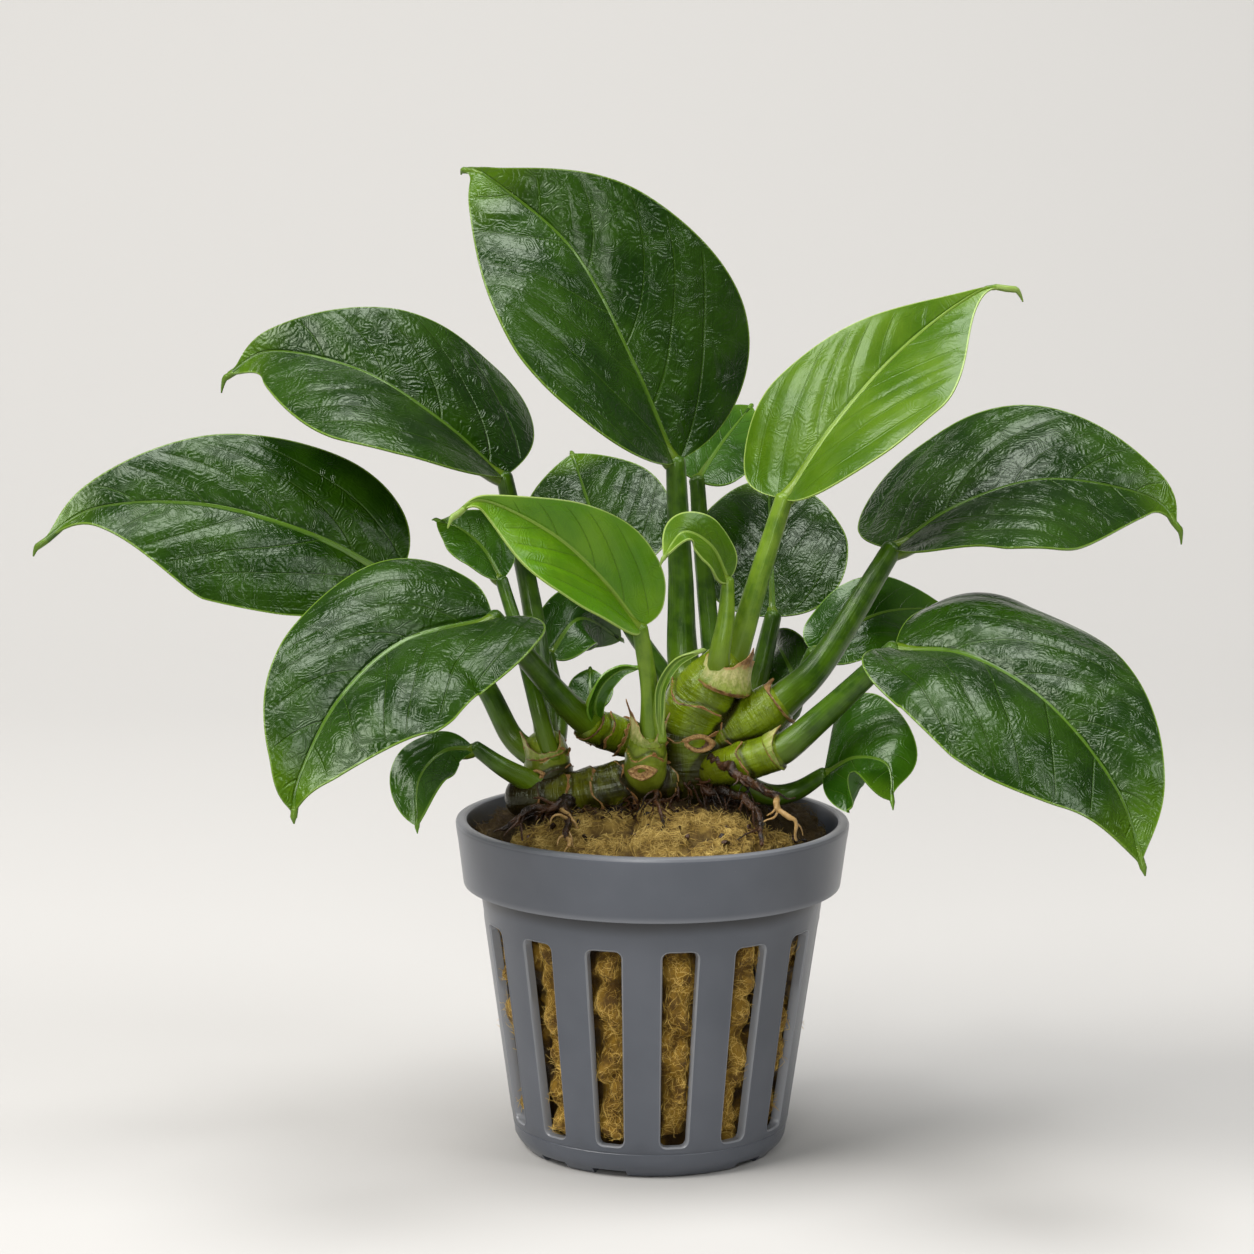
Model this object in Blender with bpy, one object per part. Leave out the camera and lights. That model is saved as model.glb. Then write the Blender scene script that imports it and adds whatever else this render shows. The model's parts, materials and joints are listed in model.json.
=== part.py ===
# Potted anubias nana: leathery leaves on a creeping rhizome that sits on the
# rock wool plug of a slotted net pot.
# Lengths in the tables are millimetres. The pot's axis is the Z axis, the
# ground is Z = 0 and the plant is seen from -Y.

import math

import bmesh
import bpy
from mathutils import Matrix, Vector

MM = 0.001
CLEARANCE = 0.3

# Net pot
RIM_RADIUS = 25.0
RIM_TOP = 42.4
BAND_BOTTOM = 34.1
BAND_BOTTOM_RADIUS = 24.0
BODY_TOP_RADIUS = 21.95
FOOT_RADIUS = 17.8
FOOT_TOP = 4.5
BASE_RADIUS = 16.2
WALL = 1.25
FLOOR = 1.6
LIP_ROUNDING = 0.4
LIP_WIDTH = 1.5
FOOT_CURVE_HEIGHT = 1.8
FOOT_CURVE_INSET = 0.4
SLOT_COUNT = 14
SLOT_BOTTOM = 4.25
SLOT_TOP = 29.8
SLOT_BOTTOM_WIDTH = 3.4
SLOT_TOP_WIDTH = 4.5
SLOT_CORNER = 0.8
FIRST_SLOT_ANGLE = 9.3
SLOT_CUTTER_START = 12.8
SLOT_CUTTER_LENGTH = 12.0
DRAIN_COUNT = 5
DRAIN_RADIUS = 1.9
DRAIN_CIRCLE = 9.5
NOTCH_ANGLES = (-75.0, -47.0, -18.0, 48.0, 70.0, 105.0, 135.0, 165.0, 200.0, 232.0)
NOTCH_WIDTH = 4.4
NOTCH_HEIGHT = 0.9
POT_SEGMENTS = 42

# Rock wool plug
WOOL_TOP = 45.4
WOOL_EDGE = 40.8
WOOL_SHARE_TUCKED = 0.02
WOOL_SEGMENTS = 20

# Leaves
BLADE_THICKNESS = 0.6
BLADE_COLUMNS = 4
BIG_BLADE_ROWS = 12
SMALL_BLADE_ROWS = 8
SMALL_BLADE_LENGTH = 30.0
TURNING_SHARE = 0.45
MIDRIB_STEPS = 16

# Stems
STEM_SIDES = 6
RHIZOME_SIDES = 8
STEM_STEPS = 2
DOME = 0.45
DOME_TIP = 0.6
SHEATH_WALL = 0.35

LEAF_GREEN = (0.018, 0.075, 0.012)
MID_GREEN = (0.045, 0.16, 0.018)
YOUNG_GREEN = (0.2, 0.46, 0.03)
STALK_GREEN = (0.12, 0.28, 0.03)
RHIZOME_GREEN = (0.1, 0.13, 0.025)
ROOT_BROWN = (0.06, 0.03, 0.015)
SHEATH_TAN = (0.5, 0.36, 0.2)
WOOL_YELLOW = (0.42, 0.33, 0.12)
POT_GREY = (0.12, 0.13, 0.145)
LEAF_ROUGHNESS = 0.3
STEM_ROUGHNESS = 0.35
SHEATH_ROUGHNESS = 0.7
WOOL_ROUGHNESS = 0.9
POT_ROUGHNESS = 0.4

# Each blade: its midrib from the stalk to the tip, its roll about the midrib
# at both ends (0 faces the viewer), the fold and the curl of its halves, and
# for its two halves the width, where they are widest, how fast they taper and
# how far the base lobe reaches back.
BLADES = {
    "leaf_top": dict(
        midrib=[(2.6, 2, 87.6), (-3, 2.6, 100.4), (-10.5, 5, 113.9), (-21.1, 9, 122.7), (-24.6, 10.5, 123.8)],
        roll=(57, 8), fold=22, curl=18, half=(18.2, 17.9), widest=(0.39, 0.29),
        taper=(0.9, 1.35), lobe=(0.0, 0.0), colour=LEAF_GREEN),
    "leaf_upper_left": dict(
        midrib=[(-19.2, 8, 84.9), (-27.1, 9.5, 91.8), (-37.5, 12, 98), (-49.3, 15, 100.3), (-55.6, 15.5, 96.9)],
        roll=(70, 36), fold=21, curl=31, half=(15.9, 15.9), widest=(0.42, 0.24),
        taper=(1.1, 1.45), lobe=(0.0, 0.02), colour=LEAF_GREEN),
    "leaf_left": dict(
        midrib=[(-32.5, 2, 72.5), (-43.1, 0.5, 78.3), (-56.4, -1, 82.2), (-69.7, -3, 81.9), (-77, -4.5, 77.3)],
        roll=(33, 46), fold=15, curl=35, half=(13.6, 12.6), widest=(0.5, 0.36),
        taper=(2.0, 1.4), lobe=(0.01, 0.02), colour=LEAF_GREEN),
    "leaf_front_left": dict(
        midrib=[(-19.8, -13, 69.8), (-30.4, -19, 67.8), (-37.6, -27, 62), (-41.7, -34, 54),
                (-42.4, -36, 49.5)],
        roll=(64, 4), fold=32, curl=50, half=(15.0, 12.3), widest=(0.5, 0.24),
        taper=(1.4, 0.9), lobe=(0.16, 0.04), colour=LEAF_GREEN),
    "leaf_low_left": dict(
        midrib=[(-22.2, -8, 52.7), (-26, -10.5, 52.7), (-28.8, -15, 50), (-28.9, -19, 44.9)],
        roll=(67, 51), fold=12, curl=32, half=(7.4, 5.1), widest=(0.5, 0.42),
        taper=(1.2, 0.6), lobe=(0.08, 0.17), colour=MID_GREEN),
    "leaf_young_front": dict(
        midrib=[(-1.8, -12, 68.5), (-6.5, -15, 75), (-12.5, -19, 81), (-20.5, -23, 85.4), (-24, -27, 84)],
        roll=(57, 3), fold=27, curl=5, half=(7.8, 7.4), widest=(0.5, 0.24),
        taper=(1.9, 2.0), lobe=(0.0, 0.06), colour=YOUNG_GREEN),
    "leaf_young_right": dict(
        midrib=[(16.1, -3, 83.6), (22.1, -2, 92.7), (30.8, 1, 102.2), (40.5, 5, 109.1), (45.2, 5, 109.4)],
        roll=(-57, -27), fold=20, curl=21, half=(11.2, 12.6), widest=(0.24, 0.47),
        taper=(1.9, 2.0), lobe=(0.06, 0.0), colour=YOUNG_GREEN),
    "leaf_right": dict(
        midrib=[(29.9, 1, 76.9), (38.2, 3, 82.3), (49.6, 5, 85.5), (62.8, 7, 83), (67.1, 6.5, 77.9)],
        roll=(-75, -46), fold=9, curl=14, half=(16.9, 16.9), widest=(0.38, 0.42),
        taper=(1.15, 1.55), lobe=(0.08, 0.0), colour=LEAF_GREEN),
    "leaf_front_right": dict(
        midrib=[(29.4, -13, 66.2), (38, -18, 66.3), (47, -25, 61.7), (54.5, -32, 52.7), (57.3, -36, 44.1)],
        roll=(-76, -16), fold=30, curl=60, half=(15.3, 17.5), widest=(0.24, 0.47),
        taper=(1.0, 1.1), lobe=(0.04, 0.07), colour=LEAF_GREEN),
    "leaf_low_right": dict(
        midrib=[(21.4, -6, 49.3), (25, -9, 52), (28.8, -12.5, 51.8), (29.3, -16, 47.8)],
        roll=(-67, -7), fold=7, curl=18, half=(9.1, 7.4), widest=(0.33, 0.26),
        taper=(2.0, 0.6), lobe=(0.0, 0.0), colour=LEAF_GREEN),
    "leaf_small_left": dict(
        midrib=[(-19.2, 0, 72.7), (-21.5, 1, 76.5), (-24.5, 2.5, 78.9), (-27.7, 4, 79.9)],
        roll=(36, 28), fold=16, curl=20, half=(3.9, 4.6), widest=(0.5, 0.5),
        taper=(0.75, 1.7), lobe=(0.0, 0.05), colour=MID_GREEN),
    "leaf_young_centre": dict(
        midrib=[(9.1, -6, 73.7), (7, -8, 78.2), (3.5, -9.8, 80.2), (0.9, -12, 77.2)],
        roll=(50, 40), fold=25, curl=25, half=(3.2, 3.2), widest=(0.4, 0.4),
        taper=(0.9, 0.9), lobe=(0.0, 0.0), colour=YOUNG_GREEN),
    "leaf_back_left": dict(
        midrib=[(-6, 16, 71.2), (-8, 23, 78), (-11, 34, 85.5)],
        roll=(5, 5), fold=10, curl=20, half=(10.6, 10.6), widest=(0.42, 0.42),
        taper=(0.9, 0.9), lobe=(0.03, 0.03), colour=LEAF_GREEN),
    "leaf_back_right": dict(
        midrib=[(15.6, 14, 66.3), (15.5, 22, 75), (15.5, 34, 82.2)],
        roll=(0, 0), fold=12, curl=20, half=(10.2, 10.2), widest=(0.42, 0.42),
        taper=(0.7, 0.7), lobe=(0.03, 0.03), colour=LEAF_GREEN),
    "leaf_back_top": dict(
        midrib=[(5.6, 16, 83.8), (9, 24, 88), (13.2, 34, 92.1)],
        roll=(-20, -20), fold=10, curl=20, half=(5.5, 5.5), widest=(0.42, 0.42),
        taper=(0.9, 0.9), lobe=(0.03, 0.03), colour=MID_GREEN),
    "leaf_back_far_right": dict(
        midrib=[(20.6, 8, 62.6), (29, 12, 67), (38.8, 20, 66.8)],
        roll=(-40, -40), fold=12, curl=25, half=(6, 6), widest=(0.42, 0.42),
        taper=(1.0, 1.0), lobe=(0.03, 0.03), colour=MID_GREEN),
    "leaf_back_low": dict(
        midrib=[(19.1, 12, 57), (17, 17, 61), (15.9, 24, 61.7)],
        roll=(0, 0), fold=10, curl=20, half=(3.6, 3.6), widest=(0.4, 0.4),
        taper=(0.9, 0.9), lobe=(0.0, 0.0), colour=LEAF_GREEN),
    "leaf_inner_left": dict(
        midrib=[(-13.4, 8, 61.8), (-9.5, 13, 66), (-4, 20, 62.1)],
        roll=(-20, -20), fold=12, curl=20, half=(4.4, 4.4), widest=(0.42, 0.42),
        taper=(0.9, 0.9), lobe=(0.02, 0.02), colour=MID_GREEN),
    "leaf_inner_round": dict(
        midrib=[(-7.5, 4, 55.4), (-8.1, 7, 58), (-8.1, 10, 60)],
        roll=(0, 0), fold=12, curl=20, half=(3, 3), widest=(0.42, 0.42),
        taper=(0.9, 0.9), lobe=(0.0, 0.0), colour=MID_GREEN),
}

# Each stem: its course, its radii along it, and the stems that it meets at
# its lower end, which it is trimmed to fit.
RHIZOME = {
    "rhizome_main": dict(
        course=[(-17, -5, 45.9), (-12, -5.5, 46.2), (-6.6, -6, 47.1), (-1.5, -5.2, 48), (4, -3.5, 48.6)],
        radii=(2.3, 2.8, 3.0, 3.2, 3.2), meets=["rhizome_centre"]),
    "rhizome_centre": dict(
        course=[(4.2, -2.2, 46), (4.5, -3, 49.3), (4.6, -3, 54.9), (6.8, -3.4, 59.5), (8.7, -4, 62.8)],
        radii=(3.6, 4.4, 4.45, 4.1, 3.2), meets=[]),
    "rhizome_right": dict(
        course=[(5.5, -3, 51.6), (8.9, -3, 53.3), (12, -3.5, 55.4), (14.9, -4, 57.3)],
        radii=(3.0, 3.3, 3.4, 3.2), meets=["rhizome_centre"]),
    "rhizome_lower_right": dict(
        course=[(6.5, -5, 49.4), (9, -7, 50.3), (11, -8, 51.1), (15.1, -9, 52.6)],
        radii=(2.2, 2.4, 2.5, 2.4), meets=["rhizome_centre", "rhizome_right"]),
    "rhizome_left": dict(
        course=[(2, -2, 51.2), (-3.6, -0.4, 52.8), (-8.2, -3, 54.8)],
        radii=(2.3, 2.4, 2.2), meets=["rhizome_centre", "rhizome_main"]),
    "rhizome_crown": dict(
        course=[(-12.9, -3.6, 46.6), (-13.3, -3.2, 49.5), (-13.6, -3, 52.4)],
        radii=(2.9, 3.0, 2.5), meets=["rhizome_main"]),
    "rhizome_front": dict(
        course=[(-1.3, -6.5, 48), (-1, -8.2, 50.3), (-0.8, -9, 53.6)],
        radii=(2.5, 2.7, 2.3), meets=["rhizome_main", "rhizome_centre"]),
    "rhizome_back": dict(
        course=[(5.4, 0, 49.5), (8, 6, 50.6), (11.5, 11.5, 52.6)],
        radii=(2.8, 2.9, 2.6), meets=["rhizome_centre"]),
}

STALKS = {
    "stalk_top": dict(
        course=[(4.8, -1.6, 58.5), (3.7, 0.8, 63), (3.3, 1.5, 74)], leaf="leaf_top",
        radii=(2.3, 2.0, 1.55, 1.25), meets=["rhizome_centre"]),
    "stalk_upper_left": dict(
        course=[(-13.2, -1.8, 50.6), (-14.2, 2, 58), (-15.5, 6.5, 68)], leaf="leaf_upper_left",
        radii=(1.6, 1.5, 1.3, 1.1), meets=["rhizome_crown"]),
    "stalk_left": dict(
        course=[(-14.4, -2.8, 50.4), (-17.8, -1.6, 53), (-21, -1, 59), (-27, 1, 68)], leaf="leaf_left",
        radii=(1.6, 1.45, 1.35, 1.2, 1.05), meets=["rhizome_crown"]),
    "stalk_front_left": dict(
        course=[(-7.2, -2.4, 54.2), (-10.5, -5.2, 57.5), (-14, -8, 62)], leaf="leaf_front_left",
        radii=(1.9, 1.7, 1.45, 1.2), meets=["rhizome_left"]),
    "stalk_low_left": dict(
        course=[(-14.4, -5.4, 47.4), (-18.6, -7.2, 50)], leaf="leaf_low_left",
        radii=(1.5, 1.2, 0.9), meets=["rhizome_crown", "rhizome_main"]),
    "stalk_young_front": dict(
        course=[(-0.8, -8.9, 52), (-0.4, -9.3, 56), (-0.6, -10, 61)], leaf="leaf_young_front",
        radii=(1.7, 1.35, 1.1, 1.0), meets=["rhizome_front"]),
    "stalk_young_right": dict(
        course=[(9.6, -3.2, 61.5), (10.6, -3.3, 65), (13, -3.7, 73.5)], leaf="leaf_young_right",
        radii=(1.9, 1.6, 1.35, 1.15), meets=["rhizome_centre"]),
    "stalk_right": dict(
        course=[(13.6, -3.8, 56.4), (16.5, -3.8, 58.6), (21.5, -2, 63.5)], leaf="leaf_right",
        radii=(2.7, 2.2, 1.75, 1.3), meets=["rhizome_right"]),
    "stalk_front_right": dict(
        course=[(13.9, -8.8, 52.2), (16.5, -9.4, 53.4), (21, -10, 57.5)], leaf="leaf_front_right",
        radii=(2.1, 1.85, 1.6, 1.25), meets=["rhizome_lower_right"]),
    "stalk_low_right": dict(
        course=[(10.5, -6.6, 48.4), (14.5, -5, 46.4), (18, -4.8, 46.9)], leaf="leaf_low_right",
        radii=(1.4, 1.4, 1.2, 0.9), meets=["rhizome_lower_right", "rhizome_centre"]),
    "stalk_small_left": dict(
        course=[(-12.8, -4.8, 51), (-14.4, -4.6, 57), (-17, -1.8, 66)], leaf="leaf_small_left",
        radii=(1.2, 1.1, 0.9, 0.8), meets=["rhizome_crown"]),
    "stalk_young_centre": dict(
        course=[(8.0, -5.4, 61.8), (8.2, -6.8, 65), (8.9, -6.5, 69)], leaf="leaf_young_centre",
        radii=(1.4, 1.3, 1.1, 0.8), meets=["rhizome_centre", "stalk_young_right"]),
    "stalk_back_left": dict(
        course=[(7.2, 5.5, 50.8), (3, 9.5, 57), (-3, 13.5, 65)], leaf="leaf_back_left",
        radii=(1.4, 1.3, 1.2, 1.0), meets=["rhizome_back"]),
    "stalk_back_right": dict(
        course=[(11.4, 11.2, 52.8), (13.6, 12.6, 58)], leaf="leaf_back_right",
        radii=(1.5, 1.4, 1.1), meets=["rhizome_back"]),
    "stalk_back_top": dict(
        course=[(8.6, 7.2, 51.2), (7.5, 11.5, 63), (6.2, 15, 76)], leaf="leaf_back_top",
        radii=(1.4, 1.3, 1.1, 1.0), meets=["rhizome_back"]),
    "stalk_back_far_right": dict(
        course=[(11, 9, 52), (15.6, 9, 54.6), (18.8, 8.4, 58.8)], leaf="leaf_back_far_right",
        radii=(1.3, 1.2, 1.0, 0.9), meets=["rhizome_back"]),
    "stalk_back_low": dict(
        course=[(11.6, 12, 52), (15.4, 12, 52.6), (18.2, 11.2, 54)], leaf="leaf_back_low",
        radii=(1.1, 1.0, 0.9, 0.6), meets=["rhizome_back", "stalk_back_right"]),
    "stalk_inner_left": dict(
        course=[(-12.4, -1.4, 50.8), (-12, 3.8, 55)], leaf="leaf_inner_left",
        radii=(1.2, 1.1, 0.8), meets=["rhizome_crown", "stalk_upper_left"]),
    "stalk_inner_round": dict(
        course=[(-6.6, -1.8, 53.4), (-7.1, 1.4, 54)], leaf="leaf_inner_round",
        radii=(1.0, 0.9, 0.7), meets=["rhizome_left"]),
}

NEW_LEAVES = {
    "new_leaf_left": dict(
        course=[(-6.8, -3, 54.4), (-7.2, -5.4, 57.6), (-6, -6, 60.8), (-3.9, -6, 62.5), (-1.8, -6, 62.8)],
        radii=(0.9, 1.1, 1.1, 0.8, 0.3), meets=["rhizome_left", "stalk_front_left"]),
    "new_leaf_front": dict(
        course=[(0.2, -9.6, 49.8), (0.8, -13.2, 52.2), (0.6, -13.6, 57.6), (1.4, -12.6, 63), (5.2, -11, 65.6)],
        radii=(0.8, 0.9, 0.9, 0.7, 0.3), meets=["rhizome_front"]),
}

SHEATHS = {
    "sheath_centre": dict(
        course=[(9.3, -4.5, 62), (9.5, -4.8, 64.4), (10, -4.8, 66.6)],
        radii=(3.9, 4.1, 4.0), meets=["rhizome_centre"]),
    "sheath_front": dict(
        course=[(-0.8, -8.8, 52.6), (-0.5, -9.2, 55), (-0.5, -9.5, 57.2)],
        radii=(2.9, 2.5, 2.2), meets=["rhizome_front"]),
}

ROOTS = {
    "root_left": dict(
        course=[(-10.4, -8.6, 46.2), (-14, -10, 45.9), (-18.6, -10.4, 43.6)],
        radii=(0.7, 0.7, 0.45), meets=["rhizome_main"]),
    "root_front": dict(
        course=[(-10.6, -8.9, 46.2), (-10.6, -13, 44.9), (-10.2, -18.6, 42.6)],
        radii=(0.8, 0.75, 0.5), meets=["rhizome_main", "root_left"]),
    "root_right": dict(
        course=[(7.2, -7.4, 51.6), (10.6, -12, 50.4), (14, -14, 48.4), (16.6, -15.2, 45.6), (17.4, -15.8, 43)],
        radii=(0.8, 0.8, 0.75, 0.7, 0.5), meets=["rhizome_centre", "rhizome_lower_right"]),
    "root_wet": dict(
        course=[(6.4, -7, 47.6), (10.8, -11, 47.2), (12.6, -14.6, 45.4), (13.2, -18, 42.8)],
        radii=(0.9, 0.85, 0.8, 0.5), meets=["rhizome_centre", "rhizome_lower_right"]),
    "root_thin": dict(
        course=[(0.4, -8, 47.2), (0.8, -11.4, 46.8), (1, -15.4, 44.6)],
        radii=(0.5, 0.5, 0.4), meets=["rhizome_main", "rhizome_front"]),
}


def clear_scene():
    for old in list(bpy.data.objects):
        bpy.data.objects.remove(old, do_unlink=True)


def add_object(name, mesh, parent, place=(0.0, 0.0, 0.0)):
    piece = bpy.data.objects.new(name, mesh)
    bpy.context.scene.collection.objects.link(piece)
    piece.parent = parent
    piece.location = Vector(place) * MM
    return piece


def paint(piece, colour, roughness):
    finish = bpy.data.materials.new(piece.name + "_finish")
    finish.use_nodes = True
    shader = finish.node_tree.nodes["Principled BSDF"]
    shader.inputs["Base Color"].default_value = (*colour, 1.0)
    shader.inputs["Roughness"].default_value = roughness
    shader.inputs["Metallic"].default_value = 0.0
    finish.diffuse_color = (*colour, 1.0)
    piece.data.materials.append(finish)


def mesh_from(bm, name, smooth=True):
    bmesh.ops.recalc_face_normals(bm, faces=bm.faces)
    mesh = bpy.data.meshes.new(name)
    bm.to_mesh(mesh)
    bm.free()
    if smooth:
        mesh.shade_smooth()
        mesh.set_sharp_from_angle(angle=math.radians(40))
    return mesh


def hide_as_cutter(piece):
    piece.hide_render = True
    piece.display_type = "WIRE"


def cut(piece, cutter):
    trim = piece.modifiers.new("trim_" + cutter.name, "BOOLEAN")
    trim.operation = "DIFFERENCE"
    trim.solver = "EXACT"
    trim.object = cutter


def smooth_course(points, steps):
    """Even samples of a smooth curve through the points."""
    knots = [Vector(p) for p in points]
    knots = [2 * knots[0] - knots[1]] + knots + [2 * knots[-1] - knots[-2]]
    samples = []
    for a, b, c, d in zip(knots, knots[1:], knots[2:], knots[3:]):
        for step in range(steps):
            t = step / steps
            samples.append(0.5 * (2 * b + (c - a) * t + (2 * a - 5 * b + 4 * c - d) * t ** 2
                                  + (3 * b - a - 3 * c + d) * t ** 3))
    samples.append(knots[-2])
    return samples


# Stems, roots and rolled leaves

def ring_matrices(course, radii, grow):
    """One scaled frame for each ring, turned as little as possible from the one before."""
    centres = smooth_course(course, STEM_STEPS)
    spans = len(course) - 1
    turn = Vector((0, 0, 1)).rotation_difference(centres[1] - centres[0])
    frames = []
    for i, centre in enumerate(centres):
        before = centres[max(i - 1, 0)]
        after = centres[min(i + 1, len(centres) - 1)]
        heading = (after - before).normalized()
        turn = (turn @ Vector((0, 0, 1))).rotation_difference(heading) @ turn
        share = i / (len(centres) - 1) * spans
        k = min(int(share), spans - 1)
        radius = radii[k] + (radii[k + 1] - radii[k]) * (share - k) + grow
        frames.append((centre, turn.copy(), radius))
    first, last = frames[0], frames[-1]
    start = (first[0] - first[1] @ Vector((0, 0, DOME * first[2])), first[1], first[2] * DOME_TIP)
    end = (last[0] + last[1] @ Vector((0, 0, DOME * last[2])), last[1], last[2] * DOME_TIP)
    origin = Vector(course[0])
    matrices = []
    for centre, turned, radius in [start] + frames + [end]:
        matrices.append(Matrix.Translation((centre - origin) * MM) @ turned.to_matrix().to_4x4()
                        @ Matrix.Scale(radius * MM, 4))
    return matrices


def drawn_tube(matrices, sides):
    """A ring of edges that is extruded from frame to frame; both ends are open."""
    bm = bmesh.new()
    bmesh.ops.create_circle(bm, cap_ends=False, segments=sides, radius=1.0, matrix=matrices[0])
    front = list(bm.edges)
    for before, after in zip(matrices, matrices[1:]):
        grown = bmesh.ops.extrude_edge_only(bm, edges=front)["geom"]
        front = [e for e in grown if isinstance(e, bmesh.types.BMEdge)]
        moved = [v for v in grown if isinstance(v, bmesh.types.BMVert)]
        bmesh.ops.transform(bm, matrix=after @ before.inverted(), verts=moved)
    return bm


def stem_mesh(name, spec, sides, grow=0.0):
    """A closed stem with domed ends."""
    bm = drawn_tube(ring_matrices(spec["course"], spec["radii"], grow), sides)
    bmesh.ops.holes_fill(bm, edges=bm.edges, sides=0)
    return mesh_from(bm, name)


def to_leaf(spec):
    """A stalk's course, ended just short of the base of the leaf that it carries."""
    base = Vector(BLADES[spec["leaf"]]["midrib"][0])
    heading = (base - Vector(spec["course"][-1])).normalized()
    short = DOME * spec["radii"][-1] + BLADE_THICKNESS / 2 + CLEARANCE
    return dict(spec, course=spec["course"] + [tuple(base - heading * short)])


def add_stem(name, spec, parent, sides, cutters, colour):
    piece = add_object(name, stem_mesh(name, spec, sides), parent, spec["course"][0])
    paint(piece, colour, STEM_ROUGHNESS)
    for other in spec["meets"]:
        cut(piece, cutters[other])
    return piece


def add_cutter(name, spec, parent, sides):
    mesh = stem_mesh(name + "_room", spec, sides, grow=CLEARANCE)
    room = add_object(name + "_room", mesh, parent, spec["course"][0])
    hide_as_cutter(room)
    return room


def add_sheath(name, spec, parent, cutters):
    """An open papery collar, given its wall by a Solidify modifier."""
    collar = drawn_tube(ring_matrices(spec["course"], spec["radii"], 0.0)[1:-1], RHIZOME_SIDES)
    piece = add_object(name, mesh_from(collar, name), parent, spec["course"][0])
    wall = piece.modifiers.new("wall", "SOLIDIFY")
    wall.thickness = SHEATH_WALL * MM
    wall.offset = 1.0
    for other in spec["meets"]:
        cut(piece, cutters[other])
    paint(piece, SHEATH_TAN, SHEATH_ROUGHNESS)


# Leaf blades

class Midrib:
    """The smooth midrib curve, read by its share of length."""

    def __init__(self, points):
        self.samples = smooth_course(points, MIDRIB_STEPS)
        self.lengths = [0.0]
        for a, b in zip(self.samples, self.samples[1:]):
            self.lengths.append(self.lengths[-1] + (b - a).length)
        self.length = self.lengths[-1]

    def at(self, share):
        run = share * self.length
        inside = min(max(run, 0.0), self.length * 0.9999)
        k = next(i for i, reach in enumerate(self.lengths) if reach > inside) - 1
        a, b = self.samples[k], self.samples[k + 1]
        heading = (b - a).normalized()
        before = self.samples[max(k - 1, 0)]
        after = self.samples[min(k + 2, len(self.samples) - 1)]
        part = (inside - self.lengths[k]) / (self.lengths[k + 1] - self.lengths[k])
        heading = ((b - before).normalized() * (1 - part) + (after - a).normalized() * part).normalized()
        return a.lerp(b, part) + heading * (run - inside), heading


def margin(e, widest, lobe, taper):
    """A point on the margin: share along the midrib and share of the half width."""
    if e < TURNING_SHARE:
        angle = e / TURNING_SHARE * math.pi / 2
        along = widest * (1 - math.cos(angle)) - lobe * math.sin(2 * angle)
        return along, math.sin(angle) ** 0.9
    t = (e - TURNING_SHARE) / (1 - TURNING_SHARE)
    return widest + (1 - widest) * t, max(0.0, 1 - t ** 1.75) ** taper


def blade_point(rib, leaf, u, v):
    """The surface point at share u towards the tip and v across, -1 to 1."""
    half = 1 if v > 0 else 0
    along, across = margin(u ** 0.8, leaf["widest"][half], leaf["lobe"][half], leaf["taper"][half])
    x = u + (along - u) * abs(v) ** 1.3
    y = across * abs(v)
    centre, heading = rib.at(x)
    share = min(max(x, 0.0), 1.0)
    roll = math.radians(leaf["roll"][0] * (1 - share) + leaf["roll"][1] * share)
    facing = Vector((0, -1, 0))
    facing = (facing - heading * facing.dot(heading)).normalized()
    normal = facing * math.cos(roll) + heading.cross(facing) * math.sin(roll)
    aside = heading.cross(normal).normalized()
    fold = math.radians(leaf["fold"])
    curl = math.radians(leaf["curl"])
    out = (math.sin(fold) - math.sin(fold - curl * y)) / curl
    up = (math.cos(fold - curl * y) - math.cos(fold)) / curl
    width = leaf["half"][half]
    return centre + aside * (width * out * (1 if v > 0 else -1)) + normal * (width * up)


def add_blade(name, leaf, parent):
    rib = Midrib(leaf["midrib"])
    rows = BIG_BLADE_ROWS if rib.length > SMALL_BLADE_LENGTH else SMALL_BLADE_ROWS
    base = Vector(leaf["midrib"][0])
    bm = bmesh.new()
    bmesh.ops.create_grid(bm, x_segments=rows, y_segments=BLADE_COLUMNS, size=1.0)
    for vert in bm.verts:
        vert.co = (blade_point(rib, leaf, vert.co.x / 2 + 0.5, vert.co.y) - base) * MM
    bmesh.ops.remove_doubles(bm, verts=bm.verts, dist=0.05 * MM)
    piece = add_object(name, mesh_from(bm, name), parent, leaf["midrib"][0])
    wall = piece.modifiers.new("thickness", "SOLIDIFY")
    wall.thickness = BLADE_THICKNESS * MM
    wall.offset = 0.0
    paint(piece, leaf["colour"], LEAF_ROUGHNESS)


# Net pot

def turned_mesh(name, outline, segments):
    """The outline, radius and height pairs from axis to axis, spun round the Z axis."""
    bm = bmesh.new()
    verts = [bm.verts.new((r * MM, 0, z * MM)) for r, z in outline]
    edges = [bm.edges.new(pair) for pair in zip(verts, verts[1:])]
    bmesh.ops.spin(bm, geom=verts + edges, cent=(0, 0, 0), axis=(0, 0, 1), angle=math.tau,
                   steps=segments, use_merge=True, use_duplicate=False)
    bmesh.ops.remove_doubles(bm, verts=bm.verts, dist=0.01 * MM)
    return mesh_from(bm, name)


def body_radius(z):
    """Outer radius of the tapered body between the foot and the band."""
    share = (z - FOOT_TOP) / (BAND_BOTTOM - FOOT_TOP)
    return FOOT_RADIUS + (BODY_TOP_RADIUS - FOOT_RADIUS) * share


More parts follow.
